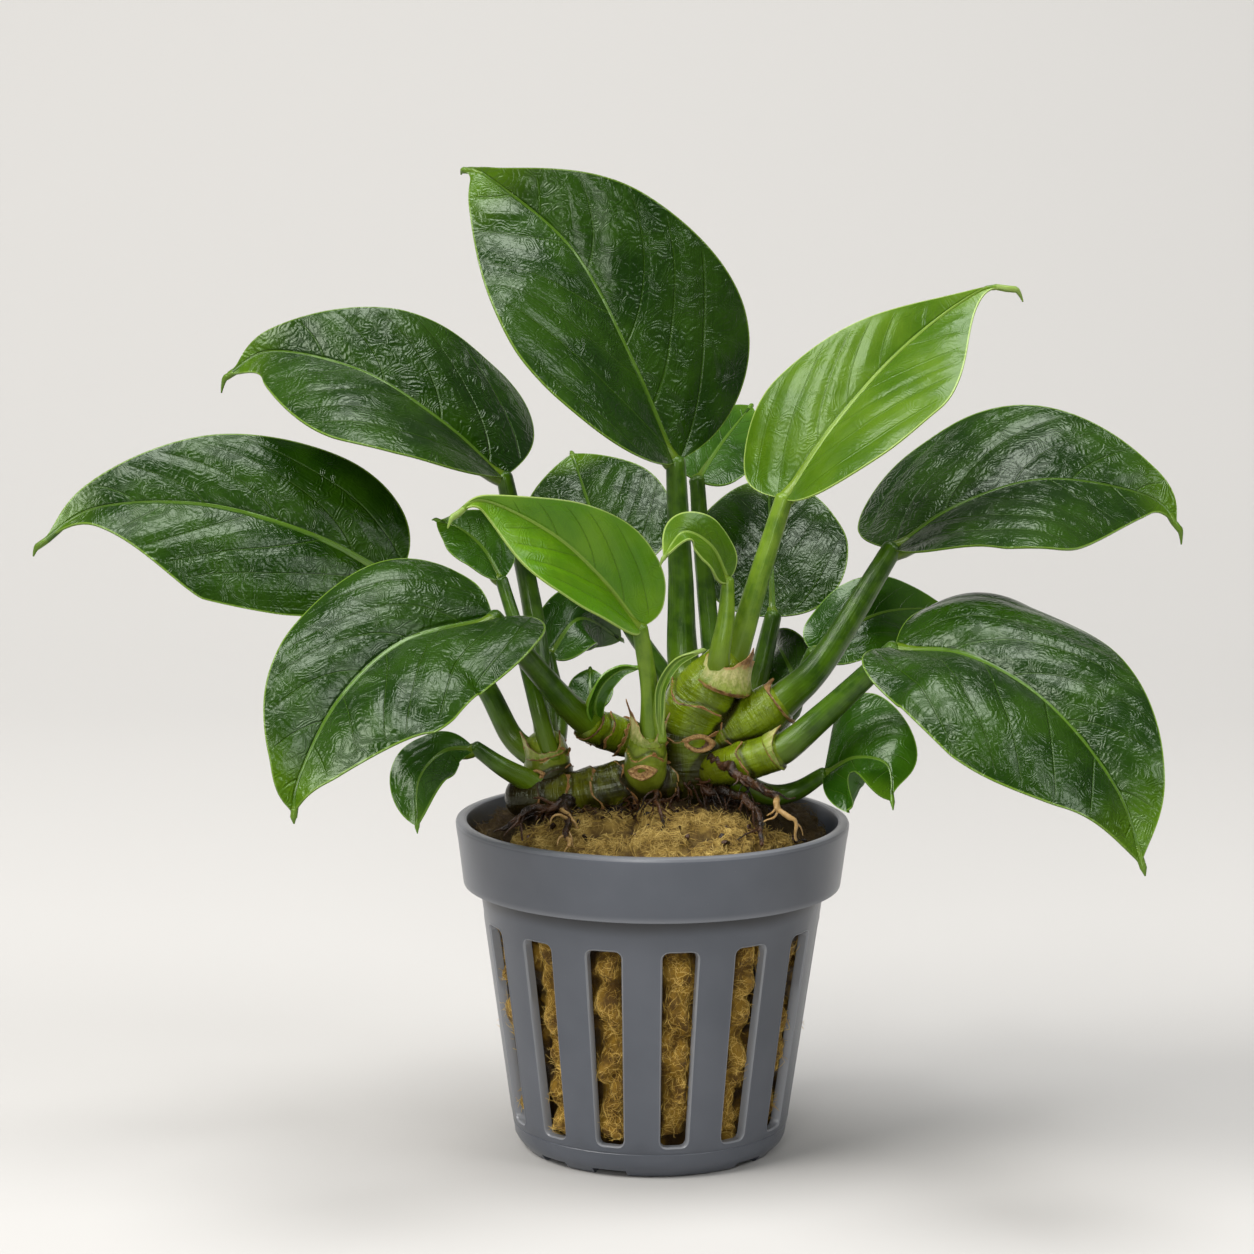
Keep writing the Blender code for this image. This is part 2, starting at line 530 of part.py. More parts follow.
def pot_outline():
    outer = [(0, 0), (BASE_RADIUS, 0), (FOOT_RADIUS - FOOT_CURVE_INSET, FOOT_CURVE_HEIGHT),
             (FOOT_RADIUS, FOOT_TOP), (BODY_TOP_RADIUS, BAND_BOTTOM), (BAND_BOTTOM_RADIUS, BAND_BOTTOM),
             (RIM_RADIUS, RIM_TOP - LIP_ROUNDING), (RIM_RADIUS - LIP_ROUNDING, RIM_TOP)]
    inner = [(RIM_RADIUS - LIP_WIDTH, RIM_TOP), (BAND_BOTTOM_RADIUS - WALL, BAND_BOTTOM + WALL),
             (body_radius(BAND_BOTTOM) - WALL, BAND_BOTTOM),
             (body_radius(FOOT_TOP) - WALL, FOOT_TOP), (BASE_RADIUS - 0.5, FLOOR), (0, FLOOR)]
    return outer + inner


def slot_cutter_mesh(name):
    """One tapered, round-cornered prism, repeated round the pot's axis."""
    low, high = SLOT_BOTTOM_WIDTH / 2, SLOT_TOP_WIDTH / 2
    corners = [(-low, SLOT_BOTTOM), (low, SLOT_BOTTOM), (high, SLOT_TOP), (-high, SLOT_TOP)]
    bm = bmesh.new()
    face = bm.faces.new([bm.verts.new((x * MM, -SLOT_CUTTER_START * MM, z * MM)) for x, z in corners])
    grown = bmesh.ops.extrude_face_region(bm, geom=[face])["geom"]
    moved = [v for v in grown if isinstance(v, bmesh.types.BMVert)]
    bmesh.ops.translate(bm, verts=moved, vec=(0, -SLOT_CUTTER_LENGTH * MM, 0))
    across = [e for e in bm.edges if abs(e.verts[0].co.y - e.verts[1].co.y) > MM]
    bmesh.ops.bevel(bm, geom=across, offset=SLOT_CORNER * MM, offset_type="OFFSET", segments=1,
                    profile=0.5, affect="EDGES", material=-1)
    first = Matrix.Rotation(math.radians(FIRST_SLOT_ANGLE), 3, "Z")
    bmesh.ops.rotate(bm, verts=bm.verts, cent=(0, 0, 0), matrix=first)
    bmesh.ops.spin(bm, geom=bm.verts[:] + bm.edges[:] + bm.faces[:], cent=(0, 0, 0), axis=(0, 0, 1),
                   angle=math.tau * (SLOT_COUNT - 1) / SLOT_COUNT, steps=SLOT_COUNT - 1,
                   use_duplicate=True)
    return mesh_from(bm, name, smooth=False)


def foot_cutter_mesh(name):
    """The notches under the foot's edge and the drain holes through the floor."""
    bm = bmesh.new()
    for degrees in NOTCH_ANGLES:
        box = bmesh.ops.create_cube(bm, size=1.0)["verts"]
        bmesh.ops.scale(bm, verts=box, vec=(NOTCH_WIDTH * MM, 6 * MM, 2 * NOTCH_HEIGHT * MM))
        bmesh.ops.translate(bm, verts=box, vec=(0, -(BASE_RADIUS + 0.5) * MM, 0))
        turn = Matrix.Rotation(math.radians(degrees), 3, "Z")
        bmesh.ops.rotate(bm, verts=box, cent=(0, 0, 0), matrix=turn)
    for hole in range(DRAIN_COUNT):
        angle = hole * math.tau / DRAIN_COUNT
        place = Matrix.Translation((DRAIN_CIRCLE * MM * math.cos(angle), DRAIN_CIRCLE * MM * math.sin(angle), 0))
        bmesh.ops.create_cone(bm, cap_ends=True, segments=6, radius1=DRAIN_RADIUS * MM,
                              radius2=DRAIN_RADIUS * MM, depth=4 * FLOOR * MM, matrix=place)
    return mesh_from(bm, name, smooth=False)


def add_pot(parent):
    pot = add_object("net_pot", turned_mesh("net_pot", pot_outline(), POT_SEGMENTS), parent)
    for name, maker in (("slots", slot_cutter_mesh), ("foot_cuts", foot_cutter_mesh)):
        cutter = add_object(name, maker(name), parent)
        hide_as_cutter(cutter)
        cut(pot, cutter)
    paint(pot, POT_GREY, POT_ROUGHNESS)


# Rock wool

def wool_outline():
    room = WALL + CLEARANCE + 0.25
    side = [(BASE_RADIUS - 1.2, FLOOR + CLEARANCE)]
    for z in (FOOT_TOP, 12, 19, 26, BAND_BOTTOM - 1):
        side.append((body_radius(z) - room, z))
    top = [(BAND_BOTTOM_RADIUS - room - 0.2, BAND_BOTTOM + 2.4), (BAND_BOTTOM_RADIUS - room, WOOL_EDGE - 0.8),
           (BAND_BOTTOM_RADIUS - 3, WOOL_EDGE + 0.6), (17, WOOL_EDGE + 2.4), (11, WOOL_TOP - 0.6), (5, WOOL_TOP)]
    return [(0, FLOOR + CLEARANCE)] + side + top + [(0, WOOL_TOP)]


def add_wool(parent, rooms):
    mesh = turned_mesh("rock_wool", wool_outline(), WOOL_SEGMENTS)
    for vert in mesh.vertices:
        angle = math.atan2(vert.co.y, vert.co.x)
        lumps = math.sin(5 * angle + vert.co.z / MM * 0.9) * math.sin(3 * angle - vert.co.z / MM * 0.5)
        tuck = 1 - WOOL_SHARE_TUCKED * (1 + lumps)
        vert.co.x *= tuck
        vert.co.y *= tuck
    wool = add_object("rock_wool", mesh, parent)
    for room in rooms:
        cut(wool, room)
    paint(wool, WOOL_YELLOW, WOOL_ROUGHNESS)


def main():
    clear_scene()
    plant = add_object("potted_anubias", None, None)
    add_pot(plant)

    stalks = {name: to_leaf(spec) for name, spec in STALKS.items()}
    stems = [(RHIZOME, RHIZOME_SIDES, RHIZOME_GREEN), (stalks, STEM_SIDES, STALK_GREEN),
             (NEW_LEAVES, STEM_SIDES, YOUNG_GREEN), (ROOTS, STEM_SIDES, ROOT_BROWN)]
    cutters = {}
    for group, sides, colour in stems:
        for name, spec in group.items():
            cutters[name] = add_cutter(name, spec, plant, sides)
    for group, sides, colour in stems:
        for name, spec in group.items():
            add_stem(name, spec, plant, sides, cutters, colour)
    for name, spec in SHEATHS.items():
        add_sheath(name, spec, plant, cutters)
    for name, leaf in BLADES.items():
        add_blade(name, leaf, plant)

    under = ["rhizome_main", "rhizome_centre", "rhizome_crown", "rhizome_front", "rhizome_lower_right",
             "rhizome_back"] + list(ROOTS)
    add_wool(plant, [cutters[name] for name in under])


main()
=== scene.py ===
import json
import math
import random

import bmesh
import bpy
from bmesh.types import BMEdge, BMVert
from mathutils import Matrix, Vector, noise
from mathutils.bvhtree import BVHTree
from mathutils.kdtree import KDTree


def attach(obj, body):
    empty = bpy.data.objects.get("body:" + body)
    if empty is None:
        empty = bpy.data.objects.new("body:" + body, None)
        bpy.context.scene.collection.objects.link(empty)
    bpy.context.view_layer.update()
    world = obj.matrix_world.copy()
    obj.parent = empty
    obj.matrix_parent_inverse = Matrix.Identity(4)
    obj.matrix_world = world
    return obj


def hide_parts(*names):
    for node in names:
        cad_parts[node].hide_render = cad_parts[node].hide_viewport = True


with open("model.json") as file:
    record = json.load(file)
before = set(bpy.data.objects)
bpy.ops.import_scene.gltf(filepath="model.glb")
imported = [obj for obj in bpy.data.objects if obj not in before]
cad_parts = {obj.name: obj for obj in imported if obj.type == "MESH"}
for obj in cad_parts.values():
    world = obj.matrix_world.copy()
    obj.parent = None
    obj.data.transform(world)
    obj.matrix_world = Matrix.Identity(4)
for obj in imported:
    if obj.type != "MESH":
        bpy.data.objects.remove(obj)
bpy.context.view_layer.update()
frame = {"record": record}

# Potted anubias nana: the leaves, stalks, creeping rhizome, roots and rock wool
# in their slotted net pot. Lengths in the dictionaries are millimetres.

slotOf = {subpart["node"]: subpart["material_slot"] for subpart in frame["record"]["subparts"]}
mm = 0.001
noise.seed_set(7)        # noise_vector differs from run to run without it


def addObject(name, data):
    thing = bpy.data.objects.new(name, data)
    bpy.context.scene.collection.objects.link(thing)
    return thing


# Camera, lights and floor

studio = {
    "cameraPlace": (-3.4, -450.6, 134.2),
    "cameraPitch": 8.5,      # degrees below the horizon
    "cameraRoll": 0.4,
    "lens": 103.66,
    "floorSize": 6.0,        # metres
    "floorBack": 0.32,       # how far behind the pot the floor starts to curve up
    "bendRadius": 0.40,
    "wallHeight": 0.46,      # of the sweep behind the pot
    "floorColour": (0.53, 0.52, 0.505),
    "worldColour": (1.0, 0.99, 0.97),
    "worldStrength": 0.14,
}

lights = {
    "key": dict(place=(-0.60, -0.36, 0.86), size=0.66, power=12.5, colour=(1.0, 0.98, 0.95)),
    "fill": dict(place=(0.66, -0.40, 0.78), size=0.46, power=3.8, colour=(0.98, 0.99, 1.0)),
    "top": dict(place=(0.03, 0.06, 1.00), size=0.50, power=6.0, colour=(1.0, 1.0, 1.0)),
    "front": dict(place=(-0.15, -0.95, 0.36), size=0.34, power=2.6, colour=(1.0, 0.99, 0.96)),
}
lightsAim = (0.0, 0.0, 0.06)


def addCamera():
    camera = bpy.data.cameras.new("camera")
    camera.lens = studio["lens"]
    camera.sensor_width = 36.0
    camera.clip_start = 0.01
    camera.dof.use_dof = False
    stand = addObject("camera", camera)
    tilt = Matrix.Rotation(math.radians(90 - studio["cameraPitch"]), 4, "X")
    roll = Matrix.Rotation(math.radians(studio["cameraRoll"]), 4, "Z")
    stand.matrix_world = Matrix.Translation(Vector(studio["cameraPlace"]) * mm) @ tilt @ roll
    bpy.context.scene.camera = stand


def addLights():
    for name, light in lights.items():
        lamp = bpy.data.lights.new(name, "AREA")
        lamp.shape = "DISK"
        lamp.size = light["size"]
        lamp.energy = light["power"]
        lamp.color = light["colour"]
        stand = addObject(name, lamp)
        stand.location = light["place"]
        aim = Vector(lightsAim) - Vector(light["place"])
        stand.rotation_euler = aim.to_track_quat("-Z", "Y").to_euler()
    world = bpy.data.worlds.new("studio")
    world.use_nodes = True
    sky = world.node_tree.nodes["Background"]
    sky.inputs["Color"].default_value = (*studio["worldColour"], 1.0)
    sky.inputs["Strength"].default_value = studio["worldStrength"]
    bpy.context.scene.world = world
    bpy.context.scene.view_settings.view_transform = "Standard"


# Node helpers

def addNode(tree, kind, **settings):
    node = tree.nodes.new("ShaderNode" + kind)
    for key, value in settings.items():
        setattr(node, key, value)
    return node


def feed(tree, node, socket, value):
    # a socket is linked, a number or a colour is set
    target = node.inputs[socket]
    if isinstance(value, bpy.types.NodeSocket):
        tree.links.new(value, target)
    elif target.type == "RGBA" and len(value) == 3:
        target.default_value = (*value, 1.0)
    else:
        target.default_value = value


def calc(tree, operation, a, b=0.0, c=0.0):
    node = addNode(tree, "Math", operation=operation)
    for slot, value in enumerate((a, b, c)):
        feed(tree, node, slot, value)
    return node.outputs[0]


def plus(tree, a, b):
    return calc(tree, "ADD", a, b)


def minus(tree, a, b):
    return calc(tree, "SUBTRACT", a, b)


def times(tree, a, b):
    return calc(tree, "MULTIPLY", a, b)


def scaled(tree, value, factor, offset):
    return calc(tree, "MULTIPLY_ADD", value, factor, offset)


def opposite(tree, value):
    return calc(tree, "SUBTRACT", 1.0, value)


def blend(tree, share, a, b):
    node = addNode(tree, "Mix", data_type="RGBA")
    feed(tree, node, 0, share)
    feed(tree, node, 6, a)
    feed(tree, node, 7, b)
    return node.outputs[2]


def rise(tree, value, low, high):
    # 0 below low, 1 above high, smooth between
    node = addNode(tree, "MapRange", interpolation_type="SMOOTHSTEP")
    feed(tree, node, "Value", value)
    feed(tree, node, "From Min", low)
    feed(tree, node, "From Max", high)
    return node.outputs[0]


def stretched(tree, vector, x, y, z):
    node = addNode(tree, "VectorMath", operation="MULTIPLY")
    feed(tree, node, 0, vector)
    feed(tree, node, 1, (x, y, z))
    return node.outputs[0]


def noisy(tree, vector, scale, detail=2.0, roughness=0.5, distortion=0.0):
    node = addNode(tree, "TexNoise")
    for socket, value in (("Vector", vector), ("Scale", scale), ("Detail", detail),
                          ("Roughness", roughness), ("Distortion", distortion)):
        feed(tree, node, socket, value)
    return node.outputs[0]


def parts(tree, vector):
    node = addNode(tree, "SeparateXYZ")
    feed(tree, node, 0, vector)
    return node.outputs


def objectPlace(tree):
    # object coordinates in millimetres
    return stretched(tree, addNode(tree, "TexCoord").outputs["Object"], 1000.0, 1000.0, 1000.0)


def attribute(tree, name, output="Fac"):
    return addNode(tree, "Attribute", attribute_name=name).outputs[output]


def newGroup(name, inputs, outputs):
    group = bpy.data.node_groups.new(name, "ShaderNodeTree")
    for label, value in inputs:
        socket = group.interface.new_socket(name=label, in_out="INPUT", socket_type="NodeSocketFloat")
        socket.default_value = value
    for label in outputs:
        group.interface.new_socket(name=label, in_out="OUTPUT", socket_type="NodeSocketFloat")
    return group, group.nodes.new("NodeGroupInput").outputs, group.nodes.new("NodeGroupOutput")


def useGroup(tree, group, values):
    node = addNode(tree, "Group", node_tree=group)
    for label, value in values.items():
        feed(tree, node, label, value)
    return node.outputs


def newMaterial(name, settings):
    material = bpy.data.materials.new(name)
    material.use_nodes = True
    tree = material.node_tree
    shader = tree.nodes["Principled BSDF"]
    for socket, value in settings.items():
        feed(tree, shader, socket, value)
    return material, tree, shader


def bumped(tree, height, depth):
    # depth in millimetres for a height of 1
    node = addNode(tree, "Bump")
    feed(tree, node, "Height", height)
    node.inputs["Distance"].default_value = depth * mm
    node.inputs["Strength"].default_value = 1.0
    return node.outputs[0]


def dress(tree, shader, colour, roughness, height, depth):
    feed(tree, shader, "Base Color", colour)
    feed(tree, shader, "Roughness", roughness)
    feed(tree, shader, "Normal", bumped(tree, height, depth))


# Node groups that several materials share

def makeBladeMarks():
    # veins, midrib, pale margin and tip of a leaf, from the blade's own attributes
    group, given, out = newGroup("blade marks", [("Spacing", 5.0), ("Midrib", 1.1), ("Margin", 0.35)],
                                 ["Vein", "Fine Vein", "Midrib", "Midrib Core", "Margin", "Tip"])
    phase, side, share = parts(group, attribute(group, "blade", "Vector"))
    rim = attribute(group, "rim")
    reach = calc(group, "ABSOLUTE", side)
    whole = calc(group, "ROUND", phase)
    off = calc(group, "ABSOLUTE", minus(group, phase, whole))
    off = times(group, off, given["Spacing"])
    inner = rise(group, rim, 0.4, 2.2)
    vein = opposite(group, rise(group, off, 0.03, 0.20))
    narrow = opposite(group, times(group, calc(group, "POWER", share, 0.55), 0.82))
    width = times(group, narrow, given["Midrib"])
    outside = rise(group, reach, times(group, width, 0.75), times(group, width, 1.25))
    inner = times(group, inner, outside)
    feed(group, out, "Vein", times(group, vein, inner))
    fine = times(group, phase, 5.0)
    fineOff = calc(group, "ABSOLUTE", minus(group, fine, calc(group, "ROUND", fine)))
    fineVein = opposite(group, rise(group, fineOff, 0.02, 0.16))
    feed(group, out, "Fine Vein", times(group, fineVein, inner))
    feed(group, out, "Midrib", opposite(group, outside))
    core = rise(group, reach, 0.04, times(group, width, 0.45))
    feed(group, out, "Midrib Core", opposite(group, core))
    margin = rise(group, rim, times(group, given["Margin"], 0.5), given["Margin"])
    feed(group, out, "Margin", opposite(group, margin))
    feed(group, out, "Tip", rise(group, share, 0.76, 0.98))
    return group


def makeCrinkle():
    # ripples that wander like a fingerprint, as level lines of a slow noise, over soft quilting
    group, given, out = newGroup("leaf crinkle", [("Size", 0.7)], ["Height", "Quilting", "Patches"])
    place = objectPlace(group)
    field = noisy(group, place, 0.32, 1.0, 0.45, 0.5)
    ripple = calc(group, "SINE", times(group, field, calc(group, "DIVIDE", 68.0, given["Size"])))
    calm = rise(group, noisy(group, place, 0.21, 2.0, 0.5), 0.34, 0.62)
    ripple = times(group, ripple, scaled(group, calm, 0.65, 0.35))
    pits = noisy(group, place, 1.5, 3.0, 0.60)
    feed(group, out, "Height", scaled(group, ripple, 0.20, times(group, pits, 0.70)))
    feed(group, out, "Quilting", noisy(group, place, 0.42, 2.0, 0.55, 0.3))
    feed(group, out, "Patches", noisy(group, place, 0.11, 3.0, 0.55))
    return group


def makeStemMarks():
    # lengthwise strands and crosswise wrinkles of a stem, from its straightened place
    group, given, out = newGroup("stem marks", [("Strands", 1.0), ("Wrinkles", 1.0)],
                                 ["Strand", "Wrinkle", "Blotch"])
    place = attribute(group, "straight", "Vector")
    strand = noisy(group, stretched(group, place, 3.2, 3.2, 0.12), 1.0, 3.0, 0.6)
    feed(group, out, "Strand", times(group, strand, given["Strands"]))
    wrinkle = noisy(group, stretched(group, place, 0.30, 0.30, 2.3), 1.0, 2.0, 0.6, 0.5)
    feed(group, out, "Wrinkle", times(group, wrinkle, given["Wrinkles"]))
    feed(group, out, "Blotch", noisy(group, objectPlace(group), 0.35, 4.0, 0.6))
    return group


bladeMarks = makeBladeMarks()
crinkle = makeCrinkle()
stemMarks = makeStemMarks()


# Leaf and stem materials

leafFinishes = {
    "mature": {"dark": (0.006, 0.025, 0.0006), "light": (0.017, 0.052, 0.0010),
               "vein": (0.030, 0.078, 0.002), "midrib": (0.085, 0.170, 0.014),
               "margin": (0.125, 0.215, 0.022), "tip": (0.080, 0.170, 0.004),
               "roughness": 0.23, "crinkleDepth": 0.13, "crinkleSize": 0.78, "through": 0.0,
               "midribWidth": 0.42, "marginWidth": 0.26, "coat": 0.08},
    "small": {"dark": (0.014, 0.054, 0.002), "light": (0.036, 0.110, 0.004),
              "vein": (0.050, 0.120, 0.005), "midrib": (0.110, 0.210, 0.020),
              "margin": (0.130, 0.250, 0.026), "tip": (0.080, 0.180, 0.006),
              "roughness": 0.24, "crinkleDepth": 0.07, "crinkleSize": 0.75, "through": 0.0,
              "midribWidth": 0.40, "marginWidth": 0.20, "coat": 0.12},
    "young": {"dark": (0.045, 0.108, 0.002), "light": (0.080, 0.158, 0.005),
              "vein": (0.040, 0.096, 0.003), "midrib": (0.225, 0.345, 0.055),
              "margin": (0.300, 0.410, 0.100), "tip": (0.160, 0.260, 0.020),
              "roughness": 0.30, "crinkleDepth": 0.05, "crinkleSize": 0.85, "through": 0.10,
              "midribWidth": 0.42, "marginWidth": 0.22, "coat": 0.04},
}
leafFinishes["fresh"] = {**leafFinishes["young"], "dark": (0.066, 0.178, 0.002),
                         "light": (0.118, 0.250, 0.005)}
# the marks in the order that they cover each other: the mark, its strength and its colour
leafLayers = (("Vein", 0.50, "vein"), ("Fine Vein", 0.15, "light"), ("Tip", 0.80, "tip"),
              ("Margin", 0.85, "margin"), ("Midrib", 0.80, "midrib"), ("Midrib Core", 0.30, "vein"))


def leafMaterial(name, look):
    material, tree, shader = newMaterial(name, {
        "Coat Weight": look["coat"], "Coat Roughness": 0.14, "IOR": 1.37, "Specular IOR Level": 0.50,
        "Specular Tint": (0.84, 1.0, 0.76),
        "Subsurface Weight": look["through"], "Subsurface Scale": 0.0012,
        "Subsurface Radius": (0.6, 1.0, 0.2)})
    marks = useGroup(tree, bladeMarks, {"Midrib": look["midribWidth"], "Margin": look["marginWidth"]})
    folds = useGroup(tree, crinkle, {"Size": look["crinkleSize"]})
    colour = blend(tree, rise(tree, folds["Patches"], 0.35, 0.68), look["dark"], look["light"])
    for mark, strength, part in leafLayers:
        colour = blend(tree, times(tree, marks[mark], strength), colour, look[part])
    rough = scaled(tree, folds["Patches"], 0.16, look["roughness"] - 0.08)
    height = times(tree, folds["Height"], opposite(tree, marks["Midrib"]))
    height = scaled(tree, folds["Quilting"], 0.75, height)
    height = minus(tree, height, times(tree, marks["Fine Vein"], 0.10))
    height = minus(tree, height, times(tree, marks["Vein"], 0.9))
    dress(tree, shader, colour, rough, height, look["crinkleDepth"])
    return material


stemFinishes = {
    "stalk": {"low": (0.016, 0.050, 0.0012), "high": (0.050, 0.116, 0.003), "base": (0.100, 0.165, 0.004),
              "roughness": 0.28, "bump": 0.11, "strands": 1.0, "wrinkles": 0.15},
    "youngStalk": {"low": (0.062, 0.135, 0.004), "high": (0.140, 0.235, 0.014),
                   "base": (0.150, 0.230, 0.020),
                   "roughness": 0.32, "bump": 0.09, "strands": 1.0, "wrinkles": 0.10},
    "trunk": {"low": (0.088, 0.130, 0.002), "high": (0.158, 0.226, 0.003), "base": (0.085, 0.090, 0.003),
              "roughness": 0.22, "bump": 0.19, "strands": 0.6, "wrinkles": 1.0},
    "creeping": {"low": (0.020, 0.019, 0.002), "high": (0.100, 0.108, 0.004), "base": (0.050, 0.045, 0.003),
                 "roughness": 0.24, "bump": 0.17, "strands": 0.5, "wrinkles": 1.0},
    "shoot": {"low": (0.085, 0.135, 0.004), "high": (0.215, 0.285, 0.022), "base": (0.110, 0.120, 0.008),
              "roughness": 0.28, "bump": 0.12, "strands": 0.6, "wrinkles": 0.6},
}
collarTan = (0.36, 0.20, 0.07)
collarBrown = (0.075, 0.028, 0.008)
# dark brown for old skin and for painted shade
ageAndShadeBrown = (0.013, 0.008, 0.003)


def stemMaterial(name, look):
    material, tree, shader = newMaterial(name, {
        "Coat Weight": 0.10, "Coat Roughness": 0.10, "IOR": 1.42, "Specular IOR Level": 0.40,
        "Specular Tint": (0.88, 1.0, 0.78)})
    marks = useGroup(tree, stemMarks, {"Strands": look["strands"], "Wrinkles": look["wrinkles"]})
    colour = blend(tree, rise(tree, marks["Blotch"], 0.35, 0.65), look["low"], look["high"])
    colour = blend(tree, times(tree, rise(tree, marks["Strand"], 0.45, 0.7), 0.35), colour, look["high"])
    run = parts(tree, attribute(tree, "straight", "Vector"))[2]
    fromBase = rise(tree, scaled(tree, marks["Blotch"], 5.0, run), 3.5, 13.0)
    colour = blend(tree, fromBase, blend(tree, 0.25, look["base"], colour), colour)
    collar = attribute(tree, "collar")
    ragged = scaled(tree, marks["Blotch"], 0.7, -0.35)
    collarMask = rise(tree, plus(tree, collar, ragged), 0.35, 0.62)
    papery = blend(tree, rise(tree, marks["Blotch"], 0.42, 0.6), collarTan, collarBrown)
    colour = blend(tree, times(tree, collarMask, 0.92), colour, papery)
    # old skin and dark joints turn brown, and painted shade darkens the underside, the crevices and the
    # left side
    toneShift = plus(tree, attribute(tree, "ageAndShade"), scaled(tree, marks["Blotch"], 0.6, -0.3))
    colour = blend(tree, times(tree, rise(tree, toneShift, 0.1, 0.8), 0.9), colour, ageAndShadeBrown)
    rough = scaled(tree, collarMask, 0.35, look["roughness"])
    dress(tree, shader, colour, rough, plus(tree, marks["Strand"], marks["Wrinkle"]), look["bump"])
    return material


def drySkinMaterial(name, pale, dark, tip, roughness):
    # papery collars and roots, whose split ends turn to the tip's colour
    material, tree, shader = newMaterial(name, {"Specular IOR Level": 0.35})
    marks = useGroup(tree, stemMarks, {})
    place = objectPlace(tree)
    fleck = noisy(tree, place, 2.2, 4.0, 0.65)
    colour = blend(tree, rise(tree, marks["Blotch"], 0.38, 0.62), pale, dark)
    colour = blend(tree, times(tree, rise(tree, fleck, 0.55, 0.7), 0.5), colour, dark)
    colour = blend(tree, times(tree, rise(tree, marks["Strand"], 0.55, 0.68), 0.3), colour, pale)
    colour = blend(tree, rise(tree, attribute(tree, "collar"), 0.35, 0.85), colour, tip)
    rough = scaled(tree, fleck, 0.25, roughness - 0.12)
    dress(tree, shader, colour, rough, plus(tree, fleck, marks["Strand"]), 0.18)
    return material


def sheathMaterial():
    # fresh green at the foot, paler above, papery tan and brown at the torn edge
    material, tree, shader = newMaterial("pale sheath", {"Specular Tint": (0.9, 1.0, 0.8)})
    marks = useGroup(tree, stemMarks, {})
    run = parts(tree, attribute(tree, "straight", "Vector"))[2]
    fleck = noisy(tree, objectPlace(tree), 1.6, 3.0, 0.6)
    blotch = marks["Blotch"]
    green = blend(tree, rise(tree, blotch, 0.35, 0.65), (0.110, 0.165, 0.006), (0.200, 0.265, 0.020))
    cream = blend(tree, rise(tree, fleck, 0.35, 0.65), (0.300, 0.310, 0.085), (0.470, 0.440, 0.180))
    fresh = blend(tree, rise(tree, scaled(tree, fleck, 2.0, run), 1.2, 3.6), green, cream)
    dry = blend(tree, rise(tree, blotch, 0.38, 0.60), (0.40, 0.235, 0.090), (0.110, 0.042, 0.014))
    edge = plus(tree, attribute(tree, "collar"), scaled(tree, fleck, 1.0, -0.5))
    colour = blend(tree, rise(tree, edge, 0.30, 0.70), fresh, dry)
    dress(tree, shader, colour, scaled(tree, blotch, 0.25, 0.28), plus(tree, marks["Strand"], fleck), 0.12)
    return material


def scarMaterial():
    # tan corky rim round a dark, speckled middle
    material, tree, shader = newMaterial("leaf scar", {"Specular IOR Level": 0.4})
    place = objectPlace(tree)
    speck = noisy(tree, place, 3.2, 3.0, 0.7)
    dark = blend(tree, rise(tree, speck, 0.50, 0.62), (0.110, 0.052, 0.018), (0.012, 0.006, 0.003))
    pale = blend(tree, rise(tree, speck, 0.40, 0.65), (0.44, 0.27, 0.10), (0.22, 0.105, 0.035))
    toneShift = scaled(tree, speck, 0.5, plus(tree, attribute(tree, "ageAndShade"), -0.25))
    colour = blend(tree, rise(tree, toneShift, 0.25, 0.75), pale, dark)
    dress(tree, shader, colour, scaled(tree, speck, 0.3, 0.35), speck, 0.22)
    return material


# Shared shape helpers

def smoothCurve(points, steps):
    knots = [Vector(p) for p in points]
    knots = [2 * knots[0] - knots[1]] + knots + [2 * knots[-1] - knots[-2]]
    samples = []
    for a, b, c, d in zip(knots, knots[1:], knots[2:], knots[3:]):
        for step in range(steps):
            t = step / steps
            samples.append(0.5 * (2 * b + (c - a) * t + (2 * a - 5 * b + 4 * c - d) * t ** 2
                                  + (3 * b - a - 3 * c + d) * t ** 3))
    samples.append(knots[-2])
    return samples


def spread(values, share):
    # a value between the listed ones at a share of the way
    spans = len(values) - 1
    k = min(int(share * spans), spans - 1)
    part = share * spans - k
    return values[k] * (1 - part) + values[k + 1] * part


def smoothStep(low, high, value):
    t = min(max((value - low) / (high - low), 0.0), 1.0)
    return t * t * (3 - 2 * t)


def only(kind, geom):
    # an operator's result mixes vertices, edges and faces
    return [item for item in geom if isinstance(item, kind)]


def drawLine(bm, places):
    # vertices joined in a row, to be spun or extruded
    verts = [bm.verts.new(place) for place in places]
    return verts, [bm.edges.new(pair) for pair in zip(verts, verts[1:])]


def raiseCircle(bm, segments, levels):
    # an open cylinder of radius 1, its rings of vertices 1 apart
    bmesh.ops.create_circle(bm, cap_ends=False, segments=segments, radius=1.0)
    edges = bm.edges[:]
    for level in range(levels):
        grown = bmesh.ops.extrude_edge_only(bm, edges=edges)["geom"]
        edges = only(BMEdge, grown)
        bmesh.ops.translate(bm, verts=only(BMVert, grown), vec=(0, 0, 1))


def meshFrom(bm, name):
    mesh = bpy.data.meshes.new(name)
    bm.to_mesh(mesh)
    bm.free()
    return mesh


def finalMesh(thing):
    # the mesh that a curve or a modifier gives
    bpy.context.view_layer.update()
    return bpy.data.meshes.new_from_object(thing.evaluated_get(bpy.context.evaluated_depsgraph_get()))


def placePiece(name, mesh, nodes, materials):
    for material in materials:
        mesh.materials.append(material)
    piece = addObject(name, mesh)
    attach(piece, "root")
    if nodes:
        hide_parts(*nodes)
    return piece


def finishPiece(bm, name, nodes, materials, sharpAngle=50.0):
    bmesh.ops.recalc_face_normals(bm, faces=bm.faces[:])
    mesh = meshFrom(bm, name)
    mesh.shade_smooth()
    mesh.set_sharp_from_angle(angle=math.radians(sharpAngle))
    return placePiece(name, mesh, nodes, materials)


